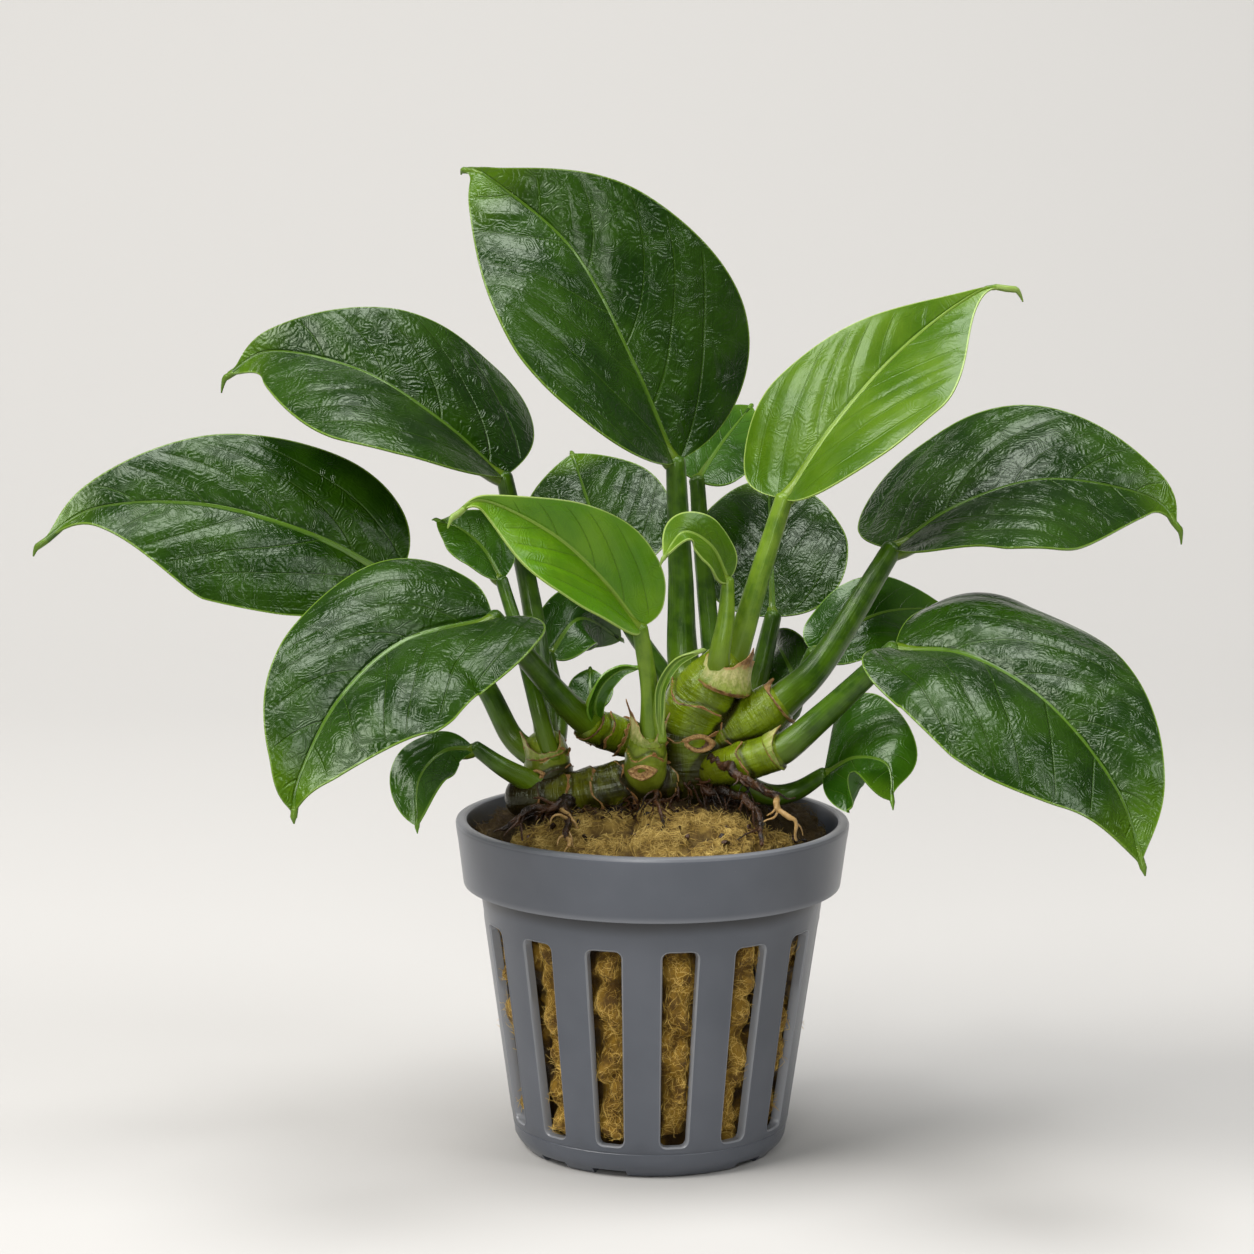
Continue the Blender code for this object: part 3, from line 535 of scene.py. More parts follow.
def joinInto(bm, part):
    # the part is added to the whole and freed
    bmesh.ops.recalc_face_normals(part, faces=part.faces[:])
    mesh = meshFrom(part, "part")
    bm.from_mesh(mesh)
    bpy.data.meshes.remove(mesh)


def thicken(bm, thickness):
    # a second skin behind the sheet, joined to it round the edge
    bm.normal_update()
    bm.verts.index_update()
    order = bm.verts.layers.int.new("order")
    for vert in bm.verts:
        vert[order] = vert.index
    ups = [vert.normal.copy() for vert in bm.verts]
    grown = bmesh.ops.extrude_face_region(bm, geom=bm.faces[:])["geom"]
    for vert in only(BMVert, grown):
        vert.co -= ups[vert[order]] * (thickness * mm)
    bm.verts.layers.int.remove(order)


def newStemMesh():
    bm = bmesh.new()
    bm.verts.layers.float_vector.new("straight")
    bm.verts.layers.float.new("collar")
    bm.verts.layers.float.new("ageAndShade")
    return bm


def growTube(bm, path, radii, sides, shape=None):
    # rings of edges extruded along the path; shape swells a point and marks its collar, its age and painted
    # shade; the underside also gets painted shade
    straight = bm.verts.layers.float_vector["straight"]
    collar = bm.verts.layers.float["collar"]
    ageAndShadeLayer = bm.verts.layers.float["ageAndShade"]
    turn = Vector((0, 0, 1)).rotation_difference(path[1] - path[0])
    run = 0.0
    ends, backTurns = [], []
    for i, point in enumerate(path):
        heading = (path[min(i + 1, len(path) - 1)] - path[max(i - 1, 0)]).normalized()
        turn = (turn @ Vector((0, 0, 1))).rotation_difference(heading) @ turn
        backTurns.append(turn.inverted())
        run += (point - path[i - 1]).length if i else 0.0
        matrix = (Matrix.Translation(point * mm) @ turn.to_matrix().to_4x4()
                  @ Matrix.Scale(radii[i] * mm, 4))
        if i == 0:
            ring = bmesh.ops.create_circle(bm, cap_ends=False, segments=sides, radius=1.0,
                                           matrix=matrix)["verts"]
            edges = bm.edges[:]
        else:
            grown = bmesh.ops.extrude_edge_only(bm, edges=edges)["geom"]
            edges, ring = only(BMEdge, grown), only(BMVert, grown)
            bmesh.ops.transform(bm, matrix=matrix @ before.inverted(), verts=ring)
        if i in (0, len(path) - 1):
            ends.append(edges)
        before = matrix
        for vert in ring:
            vert[straight] = (run, i, 0.0)
    for end in ends:
        bmesh.ops.holes_fill(bm, edges=end, sides=0)
    for vert in bm.verts:
        run, index = vert[straight][0], round(vert[straight][1])
        out = vert.co / mm - path[index]
        flat = backTurns[index] @ out
        angle = math.atan2(flat.y, flat.x)
        swell, mark, ageAndShade = shape(run, angle, vert.co / mm, out.normalized()) if shape else (1.0, 0.0, 0.0)
        vert.co = (path[index] + out * swell) * mm
        vert[straight] = (math.cos(angle) * radii[index], math.sin(angle) * radii[index], run)
        vert[collar] = mark
        # painted shade darkens the underside of every stem
        vert[ageAndShadeLayer] = ageAndShade + 0.6 * smoothStep(-0.2, -0.95, out.normalized().z)


def domed(path, radii, rings=4):
    # rounded ends for a path: rings that close in towards both ends
    bulge = 0.7              # how far an end stands out, as a share of its radius
    ends = []
    for tip, inner, radius in ((path[0], path[1], radii[0]), (path[-1], path[-2], radii[-1])):
        away = (tip - inner).normalized()
        angles = [k / rings * math.radians(84) for k in range(1, rings + 1)]
        ends.append(([tip + away * (math.sin(a) * radius * bulge) for a in angles],
                     [radius * math.cos(a) for a in angles]))
    (head, headRadii), (tail, tailRadii) = ends
    return head[::-1] + list(path) + tail, headRadii[::-1] + list(radii) + tailRadii


# Leaves

leafShape = {
    "rows": 132,             # along a big blade
    "columns": 84,           # across a big blade
    "smallRows": 66,
    "smallColumns": 44,
    "smallBelow": 30.0,      # a blade shorter than this is a small one
    "middleThickness": 0.50,
    "rimThickness": 0.24,
    "turn": 0.45,            # share of the margin that turns out of the base
    "sweep": 0.26,           # how far the side veins lean forward
    "sweepMore": 0.50,       # and arch forward towards the margin
    "alternate": 0.22,       # how far the veins of the two sides miss each other
    "pleatShare": 0.62,
    "midribRidge": 0.10,
    "midribGroove": 0.13,
    "veinGroove": 0.10,
}

# Roll is the blade's turn about its midrib at the base and at the tip. Fold is how far the two halves
# stand up from flat, and curl how far they bend back again. Half, widest, taper and lobe have a value
# for each half. Hook is the tip's length and droop. What an entry leaves out is in leafDefaults.
leafDefaults = {
    "lobe": (0.0, 0.0),      # how far the base reaches back past the stalk
    "wedge": 0.0,            # how straight the base tapers
    "beak": 0.02,            # share of the length past the blade, where only the tip's hook goes on
    "finish": "mature", "veins": 5, "wave": 0.25,
}

leaves = {
    "leaf_top": dict(
        midrib=[(2.6, 2, 87.6), (-3, 2.6, 100.4), (-10.5, 5, 113.9), (-21.1, 9, 122.7),
                (-24.6, 10.5, 123.8)],
        roll=(57, 8), fold=22, curl=18, half=(18.2, 17.9), widest=(0.39, 0.29), taper=(0.9, 1.35),
        hook=(0.4, 0.5), pleat=0.34, wave=0.28),
    "leaf_upper_left": dict(
        midrib=[(-19.2, 8, 84.9), (-27.1, 9.5, 91.8), (-37.5, 12, 98), (-49.3, 15, 100.3),
                (-55.6, 15.5, 96.9)],
        roll=(70, 36), fold=21, curl=31, half=(15.9, 15.9), widest=(0.42, 0.24), taper=(1.1, 1.45),
        lobe=(0.0, 0.02), hook=(1.0, 1.0), pleat=0.32, wave=0.28),
    "leaf_left": dict(
        midrib=[(-32.5, 2, 72.5), (-43.1, 0.5, 78.3), (-56.4, -1, 82.2), (-69.7, -3, 81.9),
                (-77, -4.5, 77.3)],
        roll=(33, 46), fold=15, curl=35, half=(13.6, 12.6), widest=(0.5, 0.36), taper=(2.0, 1.4),
        lobe=(0.01, 0.02), hook=(0.8, 0.5), pleat=0.30),
    "leaf_front_left": dict(
        midrib=[(-19.8, -13, 69.8), (-30.4, -19, 67.8), (-37.6, -27, 62), (-41.7, -34, 54),
                (-42.4, -36, 49.5)],
        roll=(64, 4), fold=32, curl=50, half=(15.0, 12.3), widest=(0.5, 0.24), taper=(1.15, 0.8),
        lobe=(0.16, 0.04), hook=(0.4, 0.3), pleat=0.30),
    "leaf_low_left": dict(
        midrib=[(-22.2, -8, 52.7), (-26, -10.5, 52.7), (-28.8, -15, 50), (-28.9, -19, 44.9)],
        roll=(42, 34), fold=14, curl=24, half=(4.2, 4.2), widest=(0.66, 0.56), taper=(1.0, 0.8),
        wedge=0.8, hook=(0.6, 0.2), finish="small", pleat=0.14, wave=0.2),
    "leaf_young_front": dict(
        midrib=[(-1.8, -12, 68.5), (-6.5, -15, 75), (-12.5, -19, 81), (-20.5, -23, 85.4), (-24, -27, 84)],
        roll=(57, 3), fold=27, curl=5, half=(7.8, 7.4), widest=(0.5, 0.24), taper=(1.9, 2.0),
        lobe=(0.0, 0.06), beak=0.04, hook=(0.8, 0.7), finish="fresh", pleat=0.27),
    "leaf_young_right": dict(
        midrib=[(16.1, -3, 83.6), (22.1, -2, 92.7), (30.8, 1, 102.2), (40.5, 5, 109.1), (45.2, 5, 109.4)],
        roll=(-57, -27), fold=20, curl=21, half=(11.2, 12.6), widest=(0.24, 0.47), taper=(1.9, 2.0),
        lobe=(0.06, 0.0), beak=0.05, hook=(1.0, 1.4), finish="young", veins=6, pleat=0.29),
    "leaf_right": dict(
        midrib=[(29.9, 1, 76.9), (38.2, 3, 82.3), (49.6, 5, 85.5), (62.8, 7, 83.2), (67.1, 6.5, 79.0)],
        roll=(-75, -46), fold=9, curl=14, half=(16.9, 16.9), widest=(0.38, 0.42), taper=(1.15, 1.45),
        lobe=(0.08, 0.0), beak=0.025, hook=(0.8, 1.0), pleat=0.34, wave=0.10),
    "leaf_front_right": dict(
        midrib=[(29.4, -13, 66.2), (38, -18, 66.3), (47, -25, 61.7), (54.5, -32, 52.7),
                (57.3, -36, 44.1)],
        roll=(-76, -16), fold=30, curl=60, half=(15.3, 17.5), widest=(0.24, 0.47), taper=(1.0, 1.1),
        lobe=(0.04, 0.07), hook=(0.7, 0.2), pleat=0.34, wave=0.28),
    "leaf_low_right": dict(
        midrib=[(21.4, -6, 49.3), (25, -9, 52), (28.8, -12.5, 51.8), (29.3, -16, 47.8)],
        roll=(-67, -7), fold=7, curl=18, half=(9.1, 7.4), widest=(0.33, 0.26), taper=(2.0, 0.6),
        wedge=0.3, hook=(0.8, 0.2), finish="small", pleat=0.20),
    "leaf_small_left": dict(
        midrib=[(-19.2, 0, 72.7), (-21.5, 1, 76.5), (-24.5, 2.5, 78.9), (-27.7, 4, 79.9)],
        roll=(36, 28), fold=16, curl=20, half=(3.9, 4.6), widest=(0.5, 0.5), taper=(0.75, 1.7),
        wedge=0.4, hook=(0.6, 0.2), finish="small", veins=4, pleat=0.10, wave=0.2),
    "leaf_young_centre": dict(
        midrib=[(9.1, -6, 73.7), (7, -8, 78.2), (3.5, -9.8, 80.2), (0.9, -12, 77.2)],
        roll=(50, 40), fold=25, curl=25, half=(3.2, 3.2), widest=(0.4, 0.4), taper=(0.9, 0.9),
        hook=(0.8, 0.3), finish="young", veins=4, pleat=0.10, wave=0.3),
    "leaf_back_left": dict(
        midrib=[(-6, 16, 71.2), (-8, 23, 78), (-11, 34, 85.5)],
        roll=(5, 5), fold=10, curl=20, half=(10.6, 10.6), widest=(0.42, 0.42), taper=(0.9, 0.9),
        lobe=(0.03, 0.03), hook=(1.0, 0.3), pleat=0.24, wave=0.28),
    "leaf_back_right": dict(
        midrib=[(15.6, 14, 66.3), (15.5, 22, 75), (15.5, 34, 82.2)],
        roll=(0, 0), fold=12, curl=20, half=(10.2, 10.2), widest=(0.42, 0.42), taper=(0.7, 0.7),
        lobe=(0.03, 0.03), hook=(1.0, 0.3), pleat=0.24, wave=0.28),
    "leaf_back_top": dict(
        midrib=[(5.6, 16, 83.8), (9, 24, 88), (13.2, 34, 92.1)],
        roll=(-20, -20), fold=10, curl=20, half=(5.5, 5.5), widest=(0.42, 0.42), taper=(0.9, 0.9),
        lobe=(0.03, 0.03), hook=(0.8, 0.3), finish="small", pleat=0.16, wave=0.3),
    "leaf_back_far_right": dict(
        midrib=[(20.6, 8, 62.6), (29, 12, 67), (38.8, 20, 66.8)],
        roll=(-40, -40), fold=12, curl=25, half=(6, 6), widest=(0.42, 0.42), taper=(1.0, 1.0),
        lobe=(0.03, 0.03), hook=(0.8, 0.3), finish="small", pleat=0.16, wave=0.3),
    "leaf_back_low": dict(
        midrib=[(19.1, 12, 57), (17, 17, 61), (15.9, 24, 61.7)],
        roll=(0, 0), fold=10, curl=20, half=(3.6, 3.6), widest=(0.4, 0.4), taper=(0.9, 0.9),
        hook=(0.6, 0.2), veins=4, pleat=0.10, wave=0.2),
    "leaf_inner_left": dict(
        midrib=[(-13.4, 8, 61.8), (-9.5, 13, 66), (-4, 20, 62.1)],
        roll=(-20, -20), fold=12, curl=20, half=(4.4, 4.4), widest=(0.42, 0.42), taper=(0.9, 0.9),
        lobe=(0.02, 0.02), hook=(0.6, 0.2), finish="small", veins=4, pleat=0.10, wave=0.2),
    "leaf_inner_round": dict(
        midrib=[(-7.5, 4, 55.4), (-8.1, 7, 58), (-8.1, 10, 60)],
        roll=(0, 0), fold=12, curl=20, half=(3, 3), widest=(0.42, 0.42), taper=(0.9, 0.9),
        hook=(0.4, 0.1), finish="small", veins=3, pleat=0.06, wave=0.1),
}


def measured(points, steps):
    # a smooth curve's points and how far along it each one is
    samples = smoothCurve(points, steps)
    lengths = [0.0]
    for a, b in zip(samples, samples[1:]):
        lengths.append(lengths[-1] + (b - a).length)
    return samples, lengths


def ribAt(rib, share):
    samples, lengths = rib
    run = share * lengths[-1]
    inside = min(max(run, 0.0), lengths[-1] * 0.9999)
    k = next(i for i, reach in enumerate(lengths) if reach > inside) - 1
    a, b = samples[k], samples[k + 1]
    before = samples[max(k - 1, 0)]
    after = samples[min(k + 2, len(samples) - 1)]
    part = (inside - lengths[k]) / (lengths[k + 1] - lengths[k])
    heading = ((b - before).normalized() * (1 - part) + (after - a).normalized() * part).normalized()
    return a.lerp(b, part) + heading * (run - inside), heading


def marginAt(e, leaf, half):
    # how far along the midrib the margin is, and its share of the half width there
    widest, lobe, taper = leaf["widest"][half], leaf["lobe"][half], leaf["taper"][half]
    turn = leafShape["turn"]
    if e < turn:
        angle = e / turn * math.pi / 2
        wedge = leaf["wedge"] * widest * (e / turn - 1 + math.cos(angle))
        return widest * (1 - math.cos(angle)) + wedge - lobe * math.sin(2 * angle), math.sin(angle) ** 0.9
    t = (e - turn) / (1 - turn)
    curve = max(0.0, 1 - (t / (1 - leaf["beak"])) ** 1.75) ** taper
    return widest + (1 - widest) * t, max(curve, 0.02 * smoothStep(1.0, 0.98, t))


def bladeAt(rib, leaf, u, v):
    # the point, the way up there, the share along the midrib and the share of the half width
    half = 1 if v > 0 else 0
    side = 1 if v > 0 else -1
    along, across = marginAt(u ** 0.8, leaf, half)
    x = u + (along - u) * abs(v) ** 1.3
    y = across * abs(v)
    centre, heading = ribAt(rib, x)
    share = min(max(x, 0.0), 1.0)
    roll = math.radians(leaf["roll"][0] * (1 - share) + leaf["roll"][1] * share)
    facing = Vector((0, -1, 0))
    facing = (facing - heading * facing.dot(heading)).normalized()
    normal = facing * math.cos(roll) + heading.cross(facing) * math.sin(roll)
    aside = heading.cross(normal).normalized()
    fold = math.radians(leaf["fold"])
    curl = math.radians(leaf["curl"])
    width = leaf["half"][half]
    lean = fold - curl * y
    out = (math.sin(fold) - math.sin(lean)) / curl
    up = (math.cos(lean) - math.cos(fold)) / curl
    point = centre + aside * (width * out * side) + normal * (width * up)
    return point, normal * math.cos(lean) - aside * (side * math.sin(lean)), x, y


def bladeRelief(leaf, seed, phase, x, y, side, width, rim, share, place):
    # millimetres above the plain blade: the midrib, side veins, pleats and a gentle wave
    reach = y * width
    narrow = 1 - 0.82 * min(max(x, 0.0), 1.0) ** 0.55
    ribWidth = leafFinishes[leaf["finish"]]["midribWidth"] * narrow
    size = min(width / 14.0, 1.0)
    height = leafShape["midribRidge"] * size * math.exp(-(reach / (0.6 * ribWidth)) ** 2)
    beside = (reach - 1.35 * ribWidth) / (0.6 * ribWidth)
    height -= leafShape["midribGroove"] * size * math.exp(-beside ** 2)
    off = abs(phase - round(phase))
    strength = 0.45 + 1.2 * abs(noise.noise(Vector((round(phase) * 3.7, side * 5.0, seed))))
    fade = smoothStep(0.5 * ribWidth, 2.6, reach) * smoothStep(0.0, 2.4, rim) * smoothStep(1.0, 0.8, share)
    height += leafShape["pleatShare"] * leaf["pleat"] * strength * math.sin(math.pi * off) ** 2 * fade
    groove = math.exp(-(off * leaf["spacing"] / 0.6) ** 2)
    height -= leafShape["veinGroove"] * strength * size * groove * fade
    wave = math.sin(x * 9.0 + side * 1.3 + seed) + 0.6 * math.sin(x * 17.0 - side * 2.1 + seed * 1.7)
    height += leaf["wave"] * wave * y ** 2.5 * smoothStep(1.0, 0.85, share)
    return height + (0.18 * noise.noise(place * 0.17) + 0.05 * noise.noise(place * 0.62)) * size * fade


def addLeaf(name, look, endRadius, materials):
    leaf = {**leafDefaults, **look}
    seed = sum(ord(letter) for letter in name) * 0.37
    rib = measured(leaf["midrib"], 16)
    length = rib[1][-1]
    small = length < leafShape["smallBelow"]
    rows = leafShape["smallRows" if small else "rows"]
    columns = leafShape["smallColumns" if small else "columns"]
    leaf["spacing"] = length / leaf["veins"] * 0.75
    bm = newStemMesh()
    addKeel(bm, rib, leaf, endRadius)
    for face in bm.faces:
        face.material_index = 1
    blade = bm.verts.layers.float_vector.new("blade")
    for vert in bm.verts:
        vert[blade] = (0.5, 9.0, 1.0)
    rimLayer = bm.verts.layers.float.new("rim")
    upLayer = bm.verts.layers.float_vector.new("up")
    sheet = bmesh.ops.create_grid(bm, x_segments=rows, y_segments=columns, size=1.0)["verts"]
    chords = {}
    for vert in sheet:
        u = min(max(vert.co.x / 2 + 0.5, 0.0), 1.0)
        v = math.copysign(abs(min(max(vert.co.y, -1.0), 1.0)) ** 1.25, vert.co.y)
        side = 1 if v > 0 else -1
        half = 1 if v > 0 else 0
        width = leaf["half"][half]
        point, up, x, y = bladeAt(rib, leaf, u, v)
        key = (round(u, 5), side)
        if key not in chords:
            chords[key] = (bladeAt(rib, leaf, u, 0.999 * side)[0] - bladeAt(rib, leaf, u, 0.0)[0]).length
        rim = (1 - abs(v)) * chords[key]
        lead = x - leafShape["sweep"] * y - leafShape["sweepMore"] * y * y
        lead += 0.055 * noise.noise(Vector((lead * 5.0 + seed, side * 3.0, y * 0.6)))
        phase = leaf["veins"] * lead if lead > 0 else lead / (leafShape["sweep"] * y + 0.10)
        phase += leafShape["alternate"] * side + seed % 0.5
        height = bladeRelief(leaf, seed, phase, x, y, side, width, rim, u, point)
        vert.co = (point + up * height) * mm
        vert[blade] = (phase, side * y * width, u)
        vert[rimLayer] = rim
        vert[upLayer] = up
    bmesh.ops.remove_doubles(bm, verts=sheet, dist=0.012 * mm)
    faces = [face for face in bm.faces if face.material_index == 0]
    grown = bmesh.ops.extrude_face_region(bm, geom=faces)["geom"]
    for vert in only(BMVert, grown):
        inner = smoothStep(0.0, 5.0, vert[rimLayer])
        wall = spread((leafShape["rimThickness"], leafShape["middleThickness"]), inner)
        vert.co -= vert[upLayer].normalized() * (wall * mm)
    # the keel's last stretch is the pale drip tip
    straight = bm.verts.layers.float_vector["straight"]
    for face in bm.faces:
        if face.material_index == 1 and min(vert[straight].z for vert in face.verts) > 0.95 * length:
            face.material_index = 0
    finishPiece(bm, name + "_blade", [name], materials)


def addKeel(bm, rib, leaf, endRadius):
    # the midrib below the blade: it starts as the stalk and runs out past the tip as a small hook
    path, radii = [], []
    steps, hookSteps = 34, 5
    length = rib[1][-1]
    hookLength, hookBend = leaf["hook"]
    fine = leafFinishes[leaf["finish"]]["midribWidth"]
    for step in range(steps + 1):
        share = step / steps
        point, up = bladeAt(rib, leaf, share, 0.0)[:2]
        radius = endRadius * (1 - share) ** 1.8 * 0.92 + 0.22 + 0.2 * fine * (1 - share)
        radius += 0.22 * min(length / 40, 1) * smoothStep(0.86, 0.98, share)
        radius = min(radius, endRadius * 0.98)
        sink = radius * (0.93 * smoothStep(-0.05, 0.07, share) + 0.07 * smoothStep(0.08, 0.40, share))
        sink -= 0.20 * smoothStep(0.85, 1.0, share)
        path.append(point - up * sink)
        radii.append(radius)
    heading = (path[-1] - path[-4]).normalized()
    droop = Vector((0, 0, -1)) - up * 0.5
    for step in range(1, hookSteps + 1):
        share = step / hookSteps
        path.append(path[steps] + heading * (hookLength * share) + droop * (hookBend * share ** 1.6))
        radii.append(radius * (1 - 0.75 * share))
    path, radii = domed(path, radii, 3)
    growTube(bm, path, radii, 12)


# Stalks

stalks = {
    "stalk_top": dict(
        course=[(4.8, -1.6, 58.5), (3.7, 0.8, 63), (3.3, 1.5, 74)], leaf="leaf_top",
        radii=(2.3, 2.0, 1.55, 1.25)),
    "stalk_upper_left": dict(
        course=[(-13.2, -1.8, 50.6), (-14.2, 2, 58), (-15.5, 6.5, 68)], leaf="leaf_upper_left",
        radii=(1.6, 1.5, 1.3, 1.1)),
    "stalk_left": dict(
        course=[(-14.4, -2.8, 50.4), (-17.8, -1.6, 53), (-21, -1, 59), (-27, 1, 68)], leaf="leaf_left",
        radii=(1.6, 1.45, 1.35, 1.2, 1.05)),
    "stalk_front_left": dict(
        course=[(-7.2, -2.4, 54.2), (-10.5, -5.2, 57.5), (-14, -8, 62)], leaf="leaf_front_left",
        radii=(1.9, 1.7, 1.45, 1.2)),
    "stalk_low_left": dict(
        course=[(-14.4, -5.4, 47.4), (-18.6, -7.2, 50)], leaf="leaf_low_left",
        radii=(1.5, 1.2, 0.9)),
    "stalk_young_front": dict(
        course=[(-0.8, -8.9, 52), (-0.4, -9.3, 56), (-0.6, -10, 61)], leaf="leaf_young_front",
        radii=(1.7, 1.35, 1.1, 1.0), young=True),
    "stalk_young_right": dict(
        course=[(9.6, -3.2, 61.5), (10.6, -3.3, 65), (13, -3.7, 73.5)], leaf="leaf_young_right",
        radii=(1.9, 1.6, 1.35, 1.15), young=True),
    "stalk_right": dict(
        course=[(13.6, -3.8, 56.4), (16.5, -3.8, 58.6), (21.5, -2, 63.5)], leaf="leaf_right",
        radii=(2.7, 2.2, 1.75, 1.3)),
    "stalk_front_right": dict(
        course=[(13.9, -8.8, 52.2), (16.5, -9.4, 53.4), (21, -10, 57.5)], leaf="leaf_front_right",
        radii=(2.1, 1.85, 1.6, 1.25)),
    "stalk_low_right": dict(
        course=[(10.5, -6.6, 48.4), (14.5, -5, 46.4), (18, -4.8, 46.9)], leaf="leaf_low_right",
        radii=(1.4, 1.4, 1.2, 0.9)),
    "stalk_small_left": dict(
        course=[(-12.8, -4.8, 51), (-14.4, -4.6, 57), (-17, -1.8, 66)], leaf="leaf_small_left",
        radii=(1.2, 1.1, 0.9, 0.8)),
    "stalk_young_centre": dict(
        course=[(8.0, -5.4, 61.8), (8.2, -6.8, 65), (8.9, -6.5, 69)], leaf="leaf_young_centre",
        radii=(1.4, 1.3, 1.1, 0.8), young=True),
    "stalk_back_left": dict(
        course=[(7.2, 5.5, 50.8), (3, 9.5, 57), (-3, 13.5, 65)], leaf="leaf_back_left",
        radii=(1.4, 1.3, 1.2, 1.0)),
    "stalk_back_right": dict(
        course=[(11.4, 11.2, 52.8), (13.6, 12.6, 58)], leaf="leaf_back_right",
        radii=(1.5, 1.4, 1.1)),
    "stalk_back_top": dict(
        course=[(8.6, 7.2, 51.2), (7.5, 11.5, 63), (6.2, 15, 76)], leaf="leaf_back_top",
        radii=(1.4, 1.3, 1.1, 1.0)),
    "stalk_back_far_right": dict(
        course=[(11, 9, 52), (15.6, 9, 54.6), (18.8, 8.4, 58.8)], leaf="leaf_back_far_right",
        radii=(1.3, 1.2, 1.0, 0.9)),
    "stalk_back_low": dict(
        course=[(11.6, 12, 52), (15.4, 12, 52.6), (18.2, 11.2, 54)], leaf="leaf_back_low",
        radii=(1.1, 1.0, 0.9, 0.6)),
    "stalk_inner_left": dict(
        course=[(-12.4, -1.4, 50.8), (-12, 3.8, 55)], leaf="leaf_inner_left",
        radii=(1.2, 1.1, 0.8)),
    "stalk_inner_round": dict(
        course=[(-6.6, -1.8, 53.4), (-7.1, 1.4, 54)], leaf="leaf_inner_round",
        radii=(1.0, 0.9, 0.7)),
}


def stemPath(points, radii, step=0.6):
    # the smooth course at even steps, with its radii
    samples, lengths = measured(points, 12)
    count = max(6, int(lengths[-1] / step))
    path, rings = [], []
    k = 0
    for i in range(count + 1):
        run = lengths[-1] * i / count
        while k < len(lengths) - 2 and lengths[k + 1] < run:
            k += 1
        part = (run - lengths[k]) / max(lengths[k + 1] - lengths[k], 1e-9)
        path.append(samples[k].lerp(samples[k + 1], part))
        rings.append(spread(radii, (k + part) / (len(samples) - 1)))
    return path, rings


def addStalk(name, stalk, material):
    base = leaves[stalk["leaf"]]["midrib"][0]
    path, radii = stemPath(stalk["course"] + [base], stalk["radii"])
    seed = len(path) * 0.7

    def shape(run, angle, place, outward):
        # a shallow channel, low ribs along the stalk and a base that clasps the rhizome
        channel = -0.08 * math.exp(-(math.remainder(angle - 1.6, math.tau) / 0.45) ** 2)
        ribs = 0.018 * math.cos(3 * angle + seed) + 0.012 * math.cos(7 * angle + seed * 2)
        flare = 0.16 * math.exp(-run / 1.8)
        return 1 + channel + ribs + flare + 0.02 * noise.noise(place * 0.5), 0.0, 0.0

    bm = newStemMesh()
    path, radii = domed(path, radii)
    growTube(bm, path, radii, 36, shape)
    finishPiece(bm, name + "_skin", [name], [material])


# Rhizome

# nodes are the rings, and oldFor the length that has turned brown, both along the stem; shade is how
# much painted shade darkens the side to the left
rhizomes = {
    "rhizome_main": dict(
        course=[(-17, -5, 45.9), (-12, -5.5, 46.2), (-6.6, -6, 47.1), (-1.5, -5.2, 48), (4, -3.5, 48.6)],
        radii=(2.3, 2.8, 3.0, 3.2, 3.2), finish="creeping", nodes=(3.2, 6.6, 10.0, 13.6, 16.6, 19.4),
        oldFor=9.0),
    "rhizome_centre": dict(
        course=[(4.2, -2.2, 46), (4.5, -3, 49.3), (4.6, -3, 54.9), (6.8, -3.4, 59.5), (8.7, -4, 62.8)],
        radii=(3.6, 4.4, 4.45, 4.1, 2.7), finish="trunk", nodes=(7.9, 12.3), oldFor=12.0, shade=0.75),
    "rhizome_right": dict(
        course=[(5.5, -3, 51.6), (8.9, -3, 53.3), (12, -3.5, 55.4), (14.9, -4, 57.3)],
        radii=(3.0, 3.3, 3.4, 3.2), finish="trunk", nodes=(4.9,), oldFor=4.5),
    "rhizome_lower_right": dict(
        course=[(6.5, -5, 49.4), (9, -7, 50.3), (11, -8, 51.1), (15.1, -9, 52.6)],
        radii=(2.2, 2.4, 2.5, 2.4), finish="trunk", nodes=(6.2,), oldFor=5.0),
    "rhizome_left": dict(
        course=[(2, -2, 51.2), (-3.6, -0.4, 52.8), (-8.2, -3, 54.8)],
        radii=(2.3, 2.4, 2.2), finish="trunk", nodes=(6.4, 9.4), oldFor=8.5),
    "rhizome_crown": dict(
        course=[(-12.9, -3.6, 46.6), (-13.3, -3.2, 49.5), (-13.6, -3, 52.4)],
        radii=(2.9, 3.0, 2.5), finish="shoot", nodes=(2.2, 4.7), oldFor=2.6),
    "rhizome_front": dict(
        course=[(-1.3, -6.5, 48), (-1, -8.2, 50.3), (-0.8, -9, 53.6)],
        radii=(2.5, 2.7, 2.3), finish="shoot", nodes=(5.2,), oldFor=2.0),
    "rhizome_back": dict(
        course=[(5.4, 0, 49.5), (8, 6, 50.6), (11.5, 11.5, 52.6)],
        radii=(2.8, 2.9, 2.6), finish="creeping", nodes=(4.4, 8.8), oldFor=6.0),
}

collarShape = {
    "segments": 72, "rows": 2,
    "height": 0.40,          # of the standing edge
    "flare": 0.26,           # how far it leans away from the stem
    "thickness": 0.11,
    "torn": -0.08,           # noise below this leaves the ring bare
    "wander": 1.3,           # how far a ring strays from its circle
}


def ringSlip(outward, node):
    return collarShape["wander"] * noise.noise(outward * 1.1 + Vector((node, 0, 0)))


def stemsNear(name):
    # the other rhizomes' middle points, to find the crevices where two meet and paint shade there
    middles = []
    for other, stem in rhizomes.items():
        if other != name:
            middles += zip(*stemPath(stem["course"], stem["radii"], 0.5))
    tree = KDTree(len(middles))
    for index, (point, radius) in enumerate(middles):
        tree.insert(point, index)
    tree.balance()
    return tree, [radius for point, radius in middles]


